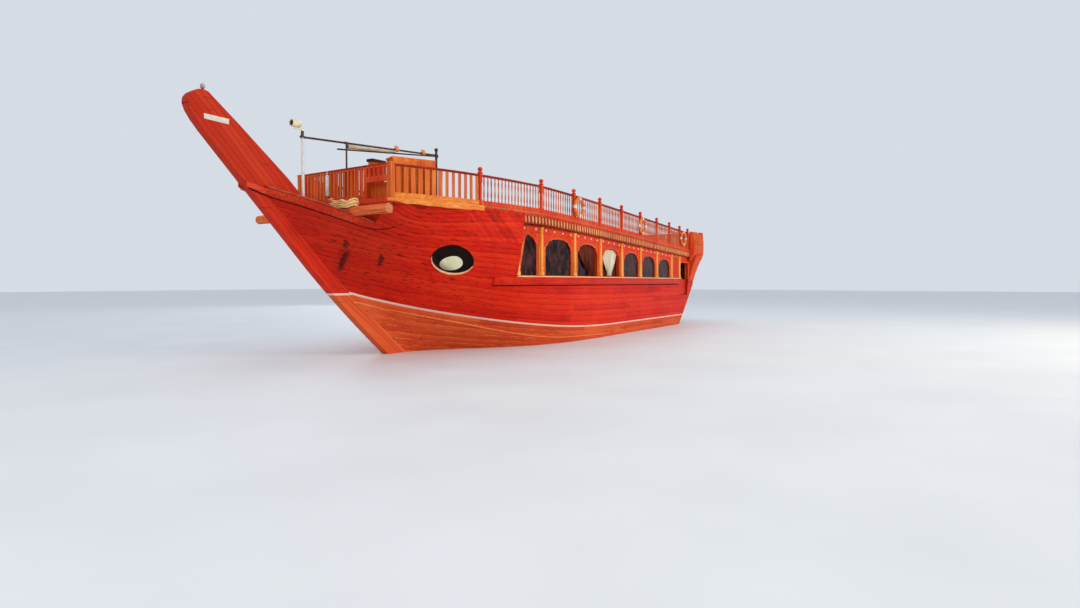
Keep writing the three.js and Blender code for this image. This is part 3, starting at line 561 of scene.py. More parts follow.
stem = copied("stem_timber", "stem", stem_wood, bevel=0.022, rounds=3, flat=1.0)
wrapped(stem, "board", lambda p: ((stem_x(p.z) - p.x) * 0.78, p.z * 1.28))
placed(stem, "red_planking", "stem", smooth=30)


def mottled(name, dark, light, noise, gloss, ends=(0.3, 0.7), stretch=(1, 1, 1), rub=None, **numbers):
    """A finish of two tones in soft patches, whose gloss follows the patches or a rub of its own."""
    paint, shader, where = finish(name)
    patches = (where if stretch == (1, 1, 1) else where.stretched(*stretch)).noise(*noise)
    sheen = where.noise(rub) if rub else patches
    feed(shader, patches.ramp((ends[0], dark), (ends[1], light)), sheen.step(0.3, 0.7, *gloss), **numbers)
    return paint


plate_paint = mottled("bare_plate", (0.58, 0.53, 0.46), (0.76, 0.71, 0.63), (7.0, 5.0), (0.45, 0.6))
corners = [(13.44, 5.680), (14.00, 5.700), (14.01, 5.815), (13.43, 5.805)]
for label, side in SIDES:
    rings = [[(x, side * y, z) for x, z in corners] for y in (0.139, 0.149)]
    plate = outward(shaped(f"bare_plate_{label}", *lofted(rings), plate_paint))
    edge = plate.modifiers.new("eased", "BEVEL")
    edge.width, edge.segments = 0.004, 2
    placed(settled(plate), "carved_trim")

# Transom, wale and sill ledge: the raked transom is planked across, the wale is a thick rubbing band along
# the side, and the ledge above it is a pale weathered board under the windows.
GRAIN_DEEP = 0.006


def wood(name, deep, mid, light, run="x", coarse=9.0, gloss=(0.3, 0.5), worn=None, seams=0.0, coat=0.0):
    """Varnished wood whose grain runs along one axis, with seams between boards if it is planked."""
    paint, shader, where = finish(name)
    scale = {"x": (0.45, coarse, coarse), "y": (coarse, 0.45, coarse), "z": (coarse, coarse, 0.45)}[run]
    grain = where.stretched(*scale).noise(1.6, 6.0, 0.62)
    cloud = where.noise(0.9, 3.0)
    tone = grain * 0.75 + cloud * 0.35 - 0.05
    colour = tone.ramp((0.25, deep), (0.5, mid), (0.78, light))
    if worn:
        scuffs = where.stretched(*(v * 1.7 for v in scale)).noise(2.3, 7.0, 0.7).step(0.6, 0.72)
        colour = colour.mixed(scuffs * 0.7, worn)
    height = grain
    if seams:
        gap = (where.axis(1 if run == "x" else 0) * (1.0 / seams)).joints(0.455, 0.49)
        colour = colour.mixed(gap * 0.75, tuple(v * 0.25 for v in deep))
        height = grain * 0.3 - gap
    feed(shader, colour, grain.step(0.3, 0.7, *gloss), height, GRAIN_DEEP, Coat_Weight=coat)
    return paint


def finer(name, node, paint, slot, body="hull", **form):
    """A CAD node's copy with a finer form and its own finish, fixed in the node's place."""
    return placed(copied(name, node, paint, **form), slot, node, body=body)


transom_wood = wood("transom_wood", (0.14, 0.010, 0.006), (0.38, 0.030, 0.012), (0.56, 0.09, 0.03), "y", 12,
                    seams=0.17)
wale_wood = wood("wale_wood", (0.28, 0.005, 0.002), (0.56, 0.012, 0.003), (0.74, 0.05, 0.012), "x", 16,
                 worn=(0.84, 0.24, 0.06))
ledge_wood = wood("ledge_wood", (0.62, 0.22, 0.08), (0.84, 0.42, 0.18), (0.92, 0.62, 0.36), "x", 18,
                  gloss=(0.5, 0.7), worn=(0.55, 0.14, 0.06))
finer("transom_boards", "transom", transom_wood, "red_planking", bevel=0.012)
for label, side in SIDES:
    finer(f"wale_band_{label}", f"wale_{label}", wale_wood, "red_planking", bevel=0.012)
    finer(f"sill_board_{label}", f"sill_ledge_{label}", ledge_wood, "sill_wood", bevel=0.008)

# The saloon's side walls stand on the sill. They are upright varnished boards, with each bay cut to a many-lobed
# arch, and a moulded edge is bent along every arch, inside and outside.
PILLAR_X = [4.65, 2.695, 0.74, -1.215, -3.17, -5.125, -7.08]
DOOR_X = -8.26
WALL_X = [BOW_END, *PILLAR_X, DOOR_X, -9.85, -10.27]
SILL_TOP, WALL_IN = 2.31, 0.015
wall_wood = wood("wall_wood", (0.38, 0.014, 0.004), (0.68, 0.040, 0.008), (0.80, 0.10, 0.02), "z", 11)
edge_wood = wood("edge_wood", (0.40, 0.04, 0.012), (0.68, 0.12, 0.035), (0.84, 0.30, 0.12), "x", 10,
                 gloss=(0.4, 0.6))
gilt_wood = wood("gilt_wood", (0.36, 0.04, 0.008), (0.62, 0.12, 0.020), (0.84, 0.30, 0.06), "z", 9,
                 gloss=(0.4, 0.55))
pillar_gold = wood("pillar_gold", (0.58, 0.15, 0.022), (0.86, 0.34, 0.055), (0.96, 0.62, 0.20), "z", 9,
                   gloss=(0.35, 0.5))
post_wood = wood("post_wood", (0.36, 0.012, 0.004), (0.64, 0.045, 0.010), (0.82, 0.17, 0.04), "z", 9,
                 gloss=(0.4, 0.6))
boss_paint = mottled("boss_paint", (0.80, 0.55, 0.30), (0.92, 0.78, 0.52), (23.0, 4.0), (0.3, 0.5))


def built(name, form, paint, slot, *nodes):
    """A closed piece made from vertices and faces, and fixed in its place."""
    return placed(outward(shaped(name, *form, paint)), slot, *nodes)


def angles(count):
    return [2 * math.pi * k / count for k in range(count)]


def tube(points, radius, sides=10, closed=False):
    """Vertices and faces of a round bar along a line of points."""
    points = [Vector(p) for p in points]
    n = len(points)
    ring_normal, rings = None, []
    for i, p in enumerate(points):
        ahead = points[(i + 1) % n] if closed or i + 1 < n else p
        behind = points[i - 1] if closed or i else p
        run = (ahead - behind).normalized()
        if ring_normal is None:
            ring_normal = run.orthogonal().normalized()
        ring_normal = (ring_normal - run * ring_normal.dot(run)).normalized()
        other = run.cross(ring_normal)
        r = radius(i / max(n - 1, 1)) if callable(radius) else radius
        rings.append([tuple(p + ring_normal * (r * math.cos(a)) + other * (r * math.sin(a)))
                      for a in angles(sides)])
    return lofted(rings, round_trip=closed)


def gathered(*shapes):
    """Several shapes' vertices and faces as one."""
    vertices, faces = [], []
    for more, sides in shapes:
        start = len(vertices)
        vertices += more
        faces += [tuple(start + k for k in face) for face in sides]
    return vertices, faces


def wall_line(x):
    """Half breadth of the window wall's outer face, straight between its posts."""
    for a, b in zip(WALL_X, WALL_X[1:]):
        if x >= b or b == WALL_X[-1]:
            low, high = half(a, SILL_Z) - WALL_IN, half(b, SILL_Z) - WALL_IN
            return lerp(low, high, (a - x) / (a - b))


def arch_top(x):
    return deck_z(x) - 0.7


def arc_through(a, m, b, count):
    """Points on the round arc from a to b by way of m, without the last."""
    (ax, ay), (mx, my), (bx, by) = a, m, b
    d = 2 * (ax * (my - by) + mx * (by - ay) + bx * (ay - my))
    ux = ((ax**2 + ay**2) * (my - by) + (mx**2 + my**2) * (by - ay) + (bx**2 + by**2) * (ay - my)) / d
    uy = ((ax**2 + ay**2) * (bx - mx) + (mx**2 + my**2) * (ax - bx) + (bx**2 + by**2) * (mx - ax)) / d
    r = math.hypot(ax - ux, ay - uy)
    start, mid, end = (math.atan2(q[1] - uy, q[0] - ux) for q in (a, m, b))
    sweep = (end - start) % (2 * math.pi)
    if (mid - start) % (2 * math.pi) > sweep:
        sweep -= 2 * math.pi
    return [(ux + r * math.cos(start + sweep * k / count), uy + r * math.sin(start + sweep * k / count))
            for k in range(count)]


def foil_path(x0, x1, foot, top):
    """Line of a many-lobed arch from one foot over the head to the other."""
    c, w, rise = (x0 + x1) / 2, (x0 - x1) / 2, 0.33

    def at(u, v):
        return (c + w * u, top - rise + rise * v)

    right = [((1, -0.15), (0.95, 0.2), (0.84, 0.42)), ((0.84, 0.42), (0.76, 0.72), (0.58, 0.84)),
             ((0.58, 0.84), (0.44, 0.99), (0.24, 1.0))]
    line = [(c + w, lerp(foot, top - rise * 1.15, k / 5)) for k in range(5)]
    for a, m, b in right:
        line += arc_through(at(*a), at(*m), at(*b), 6)
    line += arc_through(at(0.24, 1.0), at(0, 1.07), at(-0.24, 1.0), 6)
    for a, m, b in reversed(right):
        flip = [(-u, v) for u, v in (b, m, a)]
        line += arc_through(*(at(*q) for q in flip), 6)
    line += [(c - w, lerp(top - rise * 1.15, foot, k / 5)) for k in range(6)]
    return line


ARCHES = [
    foil_path(a - 0.2, b + 0.2, SILL_TOP, arch_top((a + b) / 2)) for a, b in zip(PILLAR_X, PILLAR_X[1:])
]
# The foremost bay is a half arch that leans with the bow, and the gate's bay has a plain head.
half_arch = [(4.86, lerp(SILL_TOP, 3.2, k / 4)) for k in range(4)]
for a, m, b in (((4.86, 3.2), (4.88, 3.33), (4.95, 3.4)), ((4.95, 3.4), (5.02, 3.5), (5.14, 3.53)),
                ((5.14, 3.53), (5.25, 3.6), (5.37, 3.56))):
    half_arch += arc_through(a, m, b, 5)
half_arch += [(lerp(5.37, 5.66, k / 10), lerp(3.56, SILL_TOP, (k / 10) ** 1.35)) for k in range(11)]
ARCHES.append(half_arch)
gate_head = arch_top(-9.0) + 0.06
spring = gate_head - 0.15
gate_arch = [(-8.4, lerp(SILL_TOP, spring, k / 4)) for k in range(4)]
gate_arch += [(-8.4, spring), (-8.54, gate_head), (-9.56, gate_head), (-9.7, spring)]
gate_arch += [(-9.7, lerp(spring, SILL_TOP, k / 4)) for k in range(1, 5)]
ARCHES.append(gate_arch)

for label, side in SIDES:
    for part in ("fore", "mid", "aft"):
        finer(f"wall_{part}_{label}", f"window_wall_{part}_{label}", wall_wood, "red_planking", bevel=0.006)
    edges = [tube([(x, side * (wall_line(x) + 0.004), z) for x, z in line], 0.019, 8) for line in ARCHES]
    inner = [tube([(x, side * (wall_line(x) - 0.156), z) for x, z in line], 0.017, 6) for line in ARCHES]
    built(f"arch_edges_{label}", gathered(*edges, *inner), edge_wood, "carved_trim")

# Turned and gilt pillars stand between the bays, with a flat board at either side. Pale bosses are pinned in a
# row over the arches, between two moulded strips nailed along the wall.
SWAY_SEED = 3


def lathe(profile, sides=16):
    """A turned shape from (radius, height) pairs, standing on the origin."""
    return lofted([[(r * math.cos(a), r * math.sin(a), z) for a in angles(sides)] for r, z in profile])


def repeated(name, paint, shape, places, sway=0.0):
    """One mesh with a copy of the shape at each (point, turn, size), made by a small node tree."""
    points = bpy.data.meshes.new(name)
    points.from_pydata([p for p, _, _ in places], [], [])
    for label, k in (("turn", 1), ("size", 2)):
        layer = points.attributes.new(label, "FLOAT_VECTOR", "POINT")
        layer.data.foreach_set("vector", [v for place in places for v in place[k]])
    holder = linked(name, points)
    model = outward(shaped(f"{name}_model", *shape, paint))
    tree = bpy.data.node_groups.new(name, "GeometryNodeTree")
    face = tree.interface
    face.new_socket("Geometry", in_out="INPUT", socket_type="NodeSocketGeometry")
    given_here = {}
    for label, kind, value in (("Shape", "Object", model), ("Sway", "Float", sway), ("Seed", "Int", SWAY_SEED),
                               ("Paint", "Material", paint)):
        socket = face.new_socket(label, in_out="INPUT", socket_type=f"NodeSocket{kind}")
        given_here[socket.identifier] = value
    face.new_socket("Geometry", in_out="OUTPUT", socket_type="NodeSocketGeometry")

    def put(kind, settings=None, **inputs):
        """A node with its settings, and its inputs by name or number from numbers or other nodes' outputs."""
        made = tree.nodes.new(kind)
        for key, value in (settings or {}).items():
            setattr(made, key, value)
        for key, value in inputs.items():
            socket = made.inputs[int(key[1:]) if key[0] == "_" else key]
            if isinstance(value, bpy.types.NodeSocket):
                tree.links.new(value, socket)
            else:
                socket.default_value = value
        return made.outputs

    given = put("NodeGroupInput")
    turn, size = (put("GeometryNodeInputNamedAttribute", {"data_type": "FLOAT_VECTOR"}, Name=label)["Attribute"]
                  for label in ("turn", "size"))
    spread = put("FunctionNodeRandomValue", {"data_type": "FLOAT_VECTOR"}, _0=(-1, -1, -1), _1=(1, 1, 1),
                 Seed=given["Seed"])
    scaled = put("ShaderNodeVectorMath", {"operation": "SCALE"}, _0=spread[0], Scale=given["Sway"])
    swayed = put("ShaderNodeVectorMath", {"operation": "ADD"}, _0=turn, _1=scaled[0])
    source = put("GeometryNodeObjectInfo", Object=given["Shape"])
    spots = put("GeometryNodeInstanceOnPoints", Points=given["Geometry"], Instance=source["Geometry"],
                Rotation=swayed[0], Scale=size)
    real = put("GeometryNodeRealizeInstances", _0=spots[0])
    coat = put("GeometryNodeSetMaterial", Geometry=real[0], Material=given["Paint"])
    put("NodeGroupOutput", _0=coat[0])
    spread_out = holder.modifiers.new("spread", "NODES")
    spread_out.node_group = tree
    for identifier, value in given_here.items():
        spread_out[identifier] = value
    settled(holder)
    bpy.data.objects.remove(model)
    return holder


def run_turn(line, x, side, reach=0.1):
    """Turn about Z that lays a piece's own X along a side line and its Y outwards."""
    slope = math.atan2(line(x + reach) - line(x - reach), 2 * reach)
    return side * slope + (0 if side > 0 else math.pi)


column = lathe([
    (0.085, 0), (0.085, 0.10), (0.070, 0.115), (0.050, 0.13), (0.060, 0.15), (0.072, 0.19), (0.062, 0.24),
    (0.050, 0.27), (0.058, 0.30), (0.062, 0.50), (0.060, 1.02), (0.050, 1.05), (0.066, 1.08), (0.066, 1.11),
    (0.052, 1.14), (0.056, 1.28), (0.070, 1.31), (0.070, 1.36),
], 14)
flank = lofted([[(-0.032, y, 0), (0.032, y, 0), (0.032, y, 0.94), (0.022, y, 1.0), (-0.022, y, 1.0),
                 (-0.032, y, 0.94)] for y in (-0.01, 0.028)])
boss = lathe([(0.036, -0.01), (0.036, 0.014), (0.029, 0.026), (0.012, 0.031)], 12)
for label, side in SIDES:
    columns = []
    for x in [5.735, *PILLAR_X, DOOR_X]:
        tall = (deck_z(x) - 0.392 - SILL_TOP) / column[0][-1][2]
        columns.append(((x, side * (wall_line(x) + 0.012), SILL_TOP - 0.004), (0, 0, 0), (1, 1, tall)))
    placed(repeated(f"pillars_{label}", pillar_gold, column, columns), "carved_trim")
    boards = []
    for x in PILLAR_X:
        for step in (-0.125, 0.125):
            tall = arch_top(x) - 0.30 - SILL_TOP
            at = (x + step, side * wall_line(x + step), SILL_TOP)
            boards.append((at, (0, 0, run_turn(lambda along: half(along, SILL_Z), x, side, 0.2)), (1, 1, tall)))
    placed(repeated(f"pillar_boards_{label}", gilt_wood, flank, boards), "carved_trim")
    knobs = []
    for a, b in zip([5.73, *PILLAR_X], PILLAR_X):
        count = 4 if a - b > 1.5 else 2
        for k in range(count):
            x = lerp(a, b, (k + 0.5) / count)
            knobs.append(((x, side * wall_line(x), deck_z(x) - 0.475),
                          (-math.pi / 2 * side, 0, 0), (1, 1, 1)))
    placed(repeated(f"bosses_{label}", boss_paint, boss, knobs, sway=0.05), "carved_trim")
    strips = []
    for drop, tall, out in ((0.585, 0.035, 0.026), (0.385, 0.028, 0.03)):
        edge = ((-0.004, 0), (out, 0.006), (out, tall - 0.006), (-0.004, tall))
        strips.append(lofted([[(x, side * (wall_line(x) + y), deck_z(x) - drop + z) for y, z in edge]
                              for x in (5.79, *PILLAR_X, DOOR_X, -9.85)]))
    built(f"wall_strips_{label}", gathered(*strips), post_wood, "carved_trim")

# Behind the arches the saloon has smoked panes. In two bays a side they stand further in, behind a brown curtain
# tied aside and a beige one tied in at its foot. A red door panel and a slanted board end the row.
smoked_glass = mottled("smoked_glass", (0.006, 0.001, 0.002), (0.11, 0.030, 0.034), (1.4, 5.0, 0.65), (0.20, 0.40),
                       (0.42, 0.72), (3.0, 3.0, 1.6), Specular_IOR_Level=0.10)
rail_wood = wood("rail_wood", (0.12, 0.008, 0.004), (0.30, 0.020, 0.009), (0.52, 0.08, 0.03), "x", 9,
                 gloss=(0.4, 0.6))
curtain_cloth, shader, where = finish("curtain_cloth")
tone = where.stretched(3, 3, 0.6).noise(3.0, 4.0)
aft_bay = where.axis(0).step(0.82, 0.76)
brown = tone.ramp((0.3, (0.040, 0.008, 0.005)), (0.7, (0.17, 0.035, 0.018)))
beige = tone.ramp((0.3, (0.50, 0.43, 0.30)), (0.7, (0.74, 0.68, 0.54)))
feed(shader, brown.mixed(aft_bay, beige), tone.step(0.3, 0.7, 0.85, 0.95))
CURTAINS = (("brown", 1.7175, 1.30, 0.46, 0.42), ("beige", -0.24, 1.42, 0.34, 0.0))
CURTAINED, FOLDS = (1, 2), 9
CLOTH_CUT, ROD_IN = 1.5, 0.087


def quilt(rows, cols):
    """The faces of a sheet of rows and columns."""
    n = cols + 1
    return [(i * n + j, i * n + j + 1, (i + 1) * n + j + 1, (i + 1) * n + j) for i in range(rows)
            for j in range(cols)]


def thickened(cloth, thick):
    """Gives a sheet its thickness, and says the area of one of its faces."""
    shell = cloth.modifiers.new("cloth", "SOLIDIFY")
    shell.thickness, shell.offset = thick, 0
    settled(cloth)
    return sum(face.area for face in cloth.data.polygons) / 2


for label, side in SIDES:
    panes = []
    for k, line in enumerate(ARCHES[:7]):
        foot = SILL_TOP + 0.001
        outline = [(line[0][0], foot), *((x, z) for x, z in line if z > foot), (line[-1][0], foot)]
        inner, outer = (0.140, 0.148) if k in CURTAINED else (0.035, 0.043)
        panes.append(lofted([[(x, side * (wall_line(x) - y), z) for x, z in outline] for y in (inner, outer)]))
    built(f"smoked_panes_{label}", gathered(*panes), smoked_glass, "carved_trim")
    rods = [tube([(c + x, side * (wall_line(c + x) - ROD_IN), arch_top(c) - 0.012) for x in (-0.80, 0, 0.80)],
                 0.010, 8) for _, c, *_ in CURTAINS]
    built(f"curtain_rods_{label}", gathered(*rods), rail_wood, "carved_trim")
    for kind, c, top_wide, tied, lean in CURTAINS:
        rows, cols = 30, 108
        head, foot = arch_top(c) - 0.010, SILL_TOP + 0.03
        points = []
        for i in range(rows + 1):
            s = i / rows
            pull = clamp(s * 1.12, 0, 1) ** 1.5
            wide, deep = lerp(top_wide, tied, pull), lerp(0.014, 0.036, pull)
            for j in range(cols + 1):
                t = j / cols - 0.5
                x = c - lean * pull + t * wide
                fold = math.sin(2 * math.pi * FOLDS * t + 0.5 * s) * (0.8 + 0.2 * math.sin(7 * t))
                y = wall_line(x) - ROD_IN - deep * fold
                points.append((x, side * y, lerp(head, foot, s)))
        curtain = shaped(f"{kind}_curtain_{label}", points, quilt(rows, cols), curtain_cloth)
        area = thickened(curtain, 0.002)
        placed(curtain, "carved_trim", smooth=60)

    def board(x0, x1, z0, z1, y0, y1):
        """A flat board on the wall between two places along it."""
        return lofted([[(x, side * (wall_line(x) + y), z) for y, z in ((y0, z0), (y1, z0), (y1, z1), (y0, z1))]
                       for x in (x0, x1)])

    door = [board(-7.32, -8.02, 2.36, 3.30, -0.004, 0.012)]
    trim = [board(-7.26, -7.32, 2.32, 3.36, -0.004, 0.022), board(-8.02, -8.08, 2.32, 3.36, -0.004, 0.022),
            board(-7.26, -8.08, 3.30, 3.36, -0.004, 0.020)]
    slat = ((-0.03, -0.004), (-0.03, 0.022), (0.045, 0.022), (0.045, -0.004))
    slope = [[(x + k, side * (wall_line(x + k) + y), z) for k, y in slat]
             for x, z in ((5.73, 2.315), (5.60, 2.90), (5.47, 3.36))]
    trim.append(lofted(slope))
    built(f"door_panel_{label}", gathered(*door), wale_wood, "carved_trim")
    built(f"door_trim_{label}", gathered(*trim), gilt_wood, "carved_trim")

# Low on the hull a rubbing strip follows the boot stripe down to the water, and the bulwark has a capping strake
# on its outer side. Dark tubes under that strake and under the wale's lower edge are painted shadow lines.
STRIP = [(10.01, 1.58), (8.62, 1.24), (7.22, 0.92), (5.68, 0.56), (4.62, 0.36), (3.78, 0.25), (2.77, 0.19),
         (1.17, 0.16), (-0.5, 0.10)]
STRAKE_AFT = 10.56


def along_strip(x, line):
    """Height at x on a line of (x, z) points, running forward to aft."""
    for (a, za), (b, zb) in zip(line, line[1:]):
        if x >= b:
            t = clamp((a - x) / (a - b), 0, 1)
            return lerp(za, zb, t)
    return line[-1][1]


def eased(x, line, reach=0.5):
    return sum(along_strip(clamp(x + reach * k / 4, line[-1][0], line[0][0]), line) for k in range(-4, 5)) / 9


def spaced_out(start, end, count):
    return [lerp(start, end, k / count) for k in range(count + 1)]


def painted_shadow_z(x):
    """Height of the painted shadow line under the capping strake, which drops to the wale aft of the strake."""
    return lerp(cap_z(x) - 0.228, 3.54, clamp((STRAKE_AFT - x) / 0.72, 0, 1))


strip_paint = wood("strip_paint", (0.56, 0.07, 0.02), (0.76, 0.16, 0.05), (0.88, 0.34, 0.15), "x", 14,
                   gloss=(0.5, 0.7))
strake_wood = wood("strake_wood", (0.30, 0.010, 0.004), (0.58, 0.024, 0.007), (0.82, 0.16, 0.05), "x", 20,
                   worn=(0.82, 0.22, 0.07))
# Near-black paint for the painted shadow lines under the capping strake and under the wale.
painted_shadow_paint = mottled("painted_shadow_paint", (0.02, 0.004, 0.003), (0.05, 0.008, 0.005), (4.0,), (0.7, 0.9), rub=3.0)
for label, side in SIDES:
    line = [(x, side * (half(x, eased(x, STRIP)) + 0.018), eased(x, STRIP)) for x in spaced_out(9.99, -0.5, 72)]
    built(f"rubbing_strip_{label}", tube(line, 0.028, 8), strip_paint, "red_planking")
    rows = []
    for x in spaced_out(13.05, STRAKE_AFT, 40):
        low, high = cap_z(x) - 0.215, cap_z(x) - 0.072
        rows.append([(x, side * (half(x, z) + out), z) for out, z in (
            (0.012, low), (0.040, low + 0.01), (0.044, high), (0.012, high))])
    built(f"cap_strake_{label}", lofted(rows), strake_wood, "red_planking")
    # Two dark tubes are painted shadow: one under the capping strake, one along the wale's lower edge.
    shade = [(x, side * (half(x, painted_shadow_z(x)) + 0.020), painted_shadow_z(x)) for x in spaced_out(13.0, 9.84, 44)]
    foot = {}
    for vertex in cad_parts[f"wale_{label}"].data.vertices:
        x, y, z = vertex.co
        if round(x, 3) not in foot or z < foot[round(x, 3)][2]:
            foot[round(x, 3)] = (x, y + side * 0.040, z - 0.012)
    under = [foot[x] for x in sorted(foot, reverse=True)]
    dark = gathered(tube(shade, 0.013, 6), tube(under, 0.014, 6))
    built(f"strake_gap_{label}", dark, painted_shadow_paint, "red_planking")

# The round hawse ports: a thick dark funnel runs from the outer eye to a smaller oval sheet set lower and deeper,
# painted pale as painted daylight seen through the port. A pale lip along the lower half is a painted highlight
# of the sunlit lower reveal.
# Of each ring: the outline's growth, width and height as shares, depth behind the skin, drop, and shift aft.
FUNNEL_RINGS = ((-0.002, 1, 1, -0.022, 0, 0), (-0.03, 0.93, 0.93, 0.03, 0.015, 0.02),
                (-0.03, 0.42, 0.56, 0.13, 0.085, 0.10), (-0.03, 0.39, 0.53, 0.135, 0.09, 0.10))
funnel_paint = mottled("funnel_paint", (0.003, 0.001, 0.001), (0.012, 0.004, 0.003), (6.0, 4.0), (0.4, 0.6))
# The pale sheet at the funnel's inner end is painted daylight: it stands for the bright view through the port.
painted_daylight = mottled("painted_daylight_pane", (0.74, 0.74, 0.48), (0.94, 0.93, 0.66), (4.0, 4.0), (0.15, 0.3),
                Specular_IOR_Level=0.5)
# The lip's pale colour is a painted highlight: it stands for the sunlit lower reveal of the port.
lip_highlight_wood = wood("lip_highlight_wood", (0.50, 0.16, 0.08), (0.80, 0.42, 0.22), (0.94, 0.70, 0.42), "x", 10, gloss=(0.25, 0.4))
for label, side in SIDES:
    rings = []
    for grow, wide, tall, depth, drop, aft in FUNNEL_RINGS:
        ring = []
        for x, z in eye_outline(grow):
            px, pz = EYE_X + (x - EYE_X) * wide - aft, EYE_Z + (z - EYE_Z) * tall - drop
            ring.append((px, side * (half(x, z) - depth - (0.04 if wide < 0.9 else 0) * (EYE_X - x)), pz))
        rings.append(ring)
    back = [(x, y - side * 0.012, z) for x, y, z in rings[-1]]
    thick = [[(x, y - side * 0.012, z) for x, y, z in ring] for ring in rings[::-1]]
    vertices, faces = lofted([*rings, *thick], closed_ends=False, round_trip=True)
    built(f"hawse_funnel_{label}", (vertices, faces), funnel_paint, "sill_wood", f"porthole_rim_{label}")
    pane = lofted([rings[-1], back])
    built(f"hawse_pane_{label}", pane, painted_daylight, "sill_wood")
    low = [(x, side * (half(x, z) + 0.022), z) for x, z in eye_outline(-0.012, 96)]
    low = [p for k, p in enumerate(low) if 50 <= k <= 94]
    built(f"hawse_lip_{label}", tube(low, lambda t: 0.010 + 0.022 * math.sin(math.pi * t), 8), lip_highlight_wood,
          "sill_wood")

# The upper deck is laid in narrow planks over beams. Its edge has a half-round nosing with a carved valance of
# hanging leaves under it, all of it gilt-orange varnish.
deck_wood = wood("deck_wood", (0.16, 0.085, 0.05), (0.34, 0.20, 0.12), (0.50, 0.34, 0.22), "x", 12,
                 gloss=(0.55, 0.8), worn=(0.24, 0.14, 0.09), seams=0.115)
valance_wood = wood("valance_wood", (0.10, 0.008, 0.005), (0.24, 0.022, 0.010), (0.36, 0.05, 0.018), "z", 9)
pale_gold = wood("pale_gold", (0.52, 0.11, 0.016), (0.76, 0.22, 0.035), (0.92, 0.50, 0.13), "x", 12,
                 gloss=(0.4, 0.55), worn=(0.62, 0.12, 0.02))
leaf_wood = wood("leaf_wood", (0.46, 0.09, 0.03), (0.70, 0.25, 0.09), (0.84, 0.44, 0.20), "z", 8, gloss=(0.4, 0.6))


def edge_y(x):
    return half(x, FLARE_TOP) - 0.02


def spaced(start, end, pitch):
    return spaced_out(start, end, max(round(abs(end - start) / pitch), 1))


dress(deck_wood, "upper_deck_fore", "upper_deck_aft")
dress(valance_wood, *(f"valance_{part}_{label}" for part in ("fore", "aft") for label, _ in SIDES))
LEAF_TILT = 0.12
DECK_NOSE = 10.29
leaf_line = [(-0.040, 0), (0.040, 0), (0.044, -0.13), (0.036, -0.175), (0, -0.222), (-0.036, -0.175),
             (-0.044, -0.13)]
leaf = lofted([[(x * k, y, z * lerp(1, k, 0.6) - (0 if k == 1 else 0.012)) for x, z in leaf_line]
               for k, y in ((1, -0.02), (1, 0.008), (0.82, 0.017), (0.4, 0.020))])
for label, side in SIDES:
    leaves = [((x, side * (edge_y(x) - 0.012), deck_z(x) - 0.124),
               (0, LEAF_TILT * side, run_turn(edge_y, x, side)), (1, 1, 1)) for x in spaced(5.72, -9.42, 0.176)]
    placed(repeated(f"valance_leaves_{label}", leaf_wood, leaf, leaves, sway=0.03), "carved_trim")
    nosing = [(x, side * (edge_y(x) - 0.004), deck_z(x) - 0.052) for x in spaced(DECK_NOSE, -9.5, 0.24)]
    fillet = [(x, side * (edge_y(x) + 0.002), deck_z(x) - 0.105) for x in spaced(DECK_NOSE, -9.5, 0.24)]
    built(f"deck_nosing_{label}", gathered(tube(nosing, 0.034, 10), tube(fillet, 0.014, 8)), post_wood,
          "carved_trim")
    fascia = []
    for x in spaced(DECK_NOSE, 7.50, 0.12):
        top = deck_z(x) + 0.002
        low = deck_z(x) - 0.150 - 0.016 * math.sin(2.4 * x) - 0.006 * math.sin(11 * x)
        fascia.append([(x, side * (edge_y(x) + y), z) for y, z in (
            (0.0, low), (0.038, low + 0.006), (0.044, deck_z(x) - 0.03), (0.036, top), (0.0, top))])
    built(f"bow_fascia_{label}", lofted(fascia), pale_gold, "carved_trim")

# The foredeck's bulwarks stand on the planking. A broad cap of dark, worn hardwood with rounded edges is nailed
# along the top of each.
cap_wood = wood("cap_wood", (0.12, 0.010, 0.006), (0.34, 0.034, 0.012), (0.60, 0.12, 0.04), "x", 10,
                worn=(0.07, 0.007, 0.005), coat=0.1)
for label, _ in SIDES:
    finer(f"cap_rail_{label}", f"bulwark_cap_{label}", cap_wood, "red_planking", bevel=0.014, rounds=3)

# A rough log laid across both caps takes the mooring lines. It is a trimmed trunk with a red-brown, cracked skin,
# sawn square at both ends.
log_wood, shader, where = finish("log_wood")
y_at = where.axis(1)
grain = where.stretched(14, 0.7, 14).noise(1.4, 7.0, 0.68)
ends = (y_at + 0.26).math("ABSOLUTE").step(2.700, 2.708)
rings = where.stretched(30, 0, 30).noise(1.0, 2.0)
cracks = where.stretched(22, 0.9, 22).noise(1.2, 5.0, 0.7).step(0.58, 0.66)
bark = grain.ramp((0.25, (0.34, 0.042, 0.014)), (0.5, (0.74, 0.125, 0.036)), (0.8, (0.93, 0.38, 0.15)))
bark = bark.mixed(cracks * 0.8, (0.07, 0.010, 0.006))
face = rings.ramp((0.3, (0.40, 0.08, 0.03)), (0.7, (0.74, 0.30, 0.13)))
feed(shader, bark.mixed(ends, face), grain.step(0.3, 0.7, 0.6, 0.85), grain - cracks * 0.5, 0.016)
LOG_X = 10.76
beam_z = cap_z(LOG_X) + 0.071


def log_radius(t):
    return 0.121 + 0.003 * math.sin(9 * t)


log_line = [(LOG_X + 0.002 * math.sin(k * 0.9), lerp(-2.978, 2.458, k / 30), beam_z + 0.002 * math.cos(k * 0.7))
            for k in range(31)]
built("cathead_log", tube(log_line, log_radius, 20), log_wood, "log_wood", "cathead_beam")

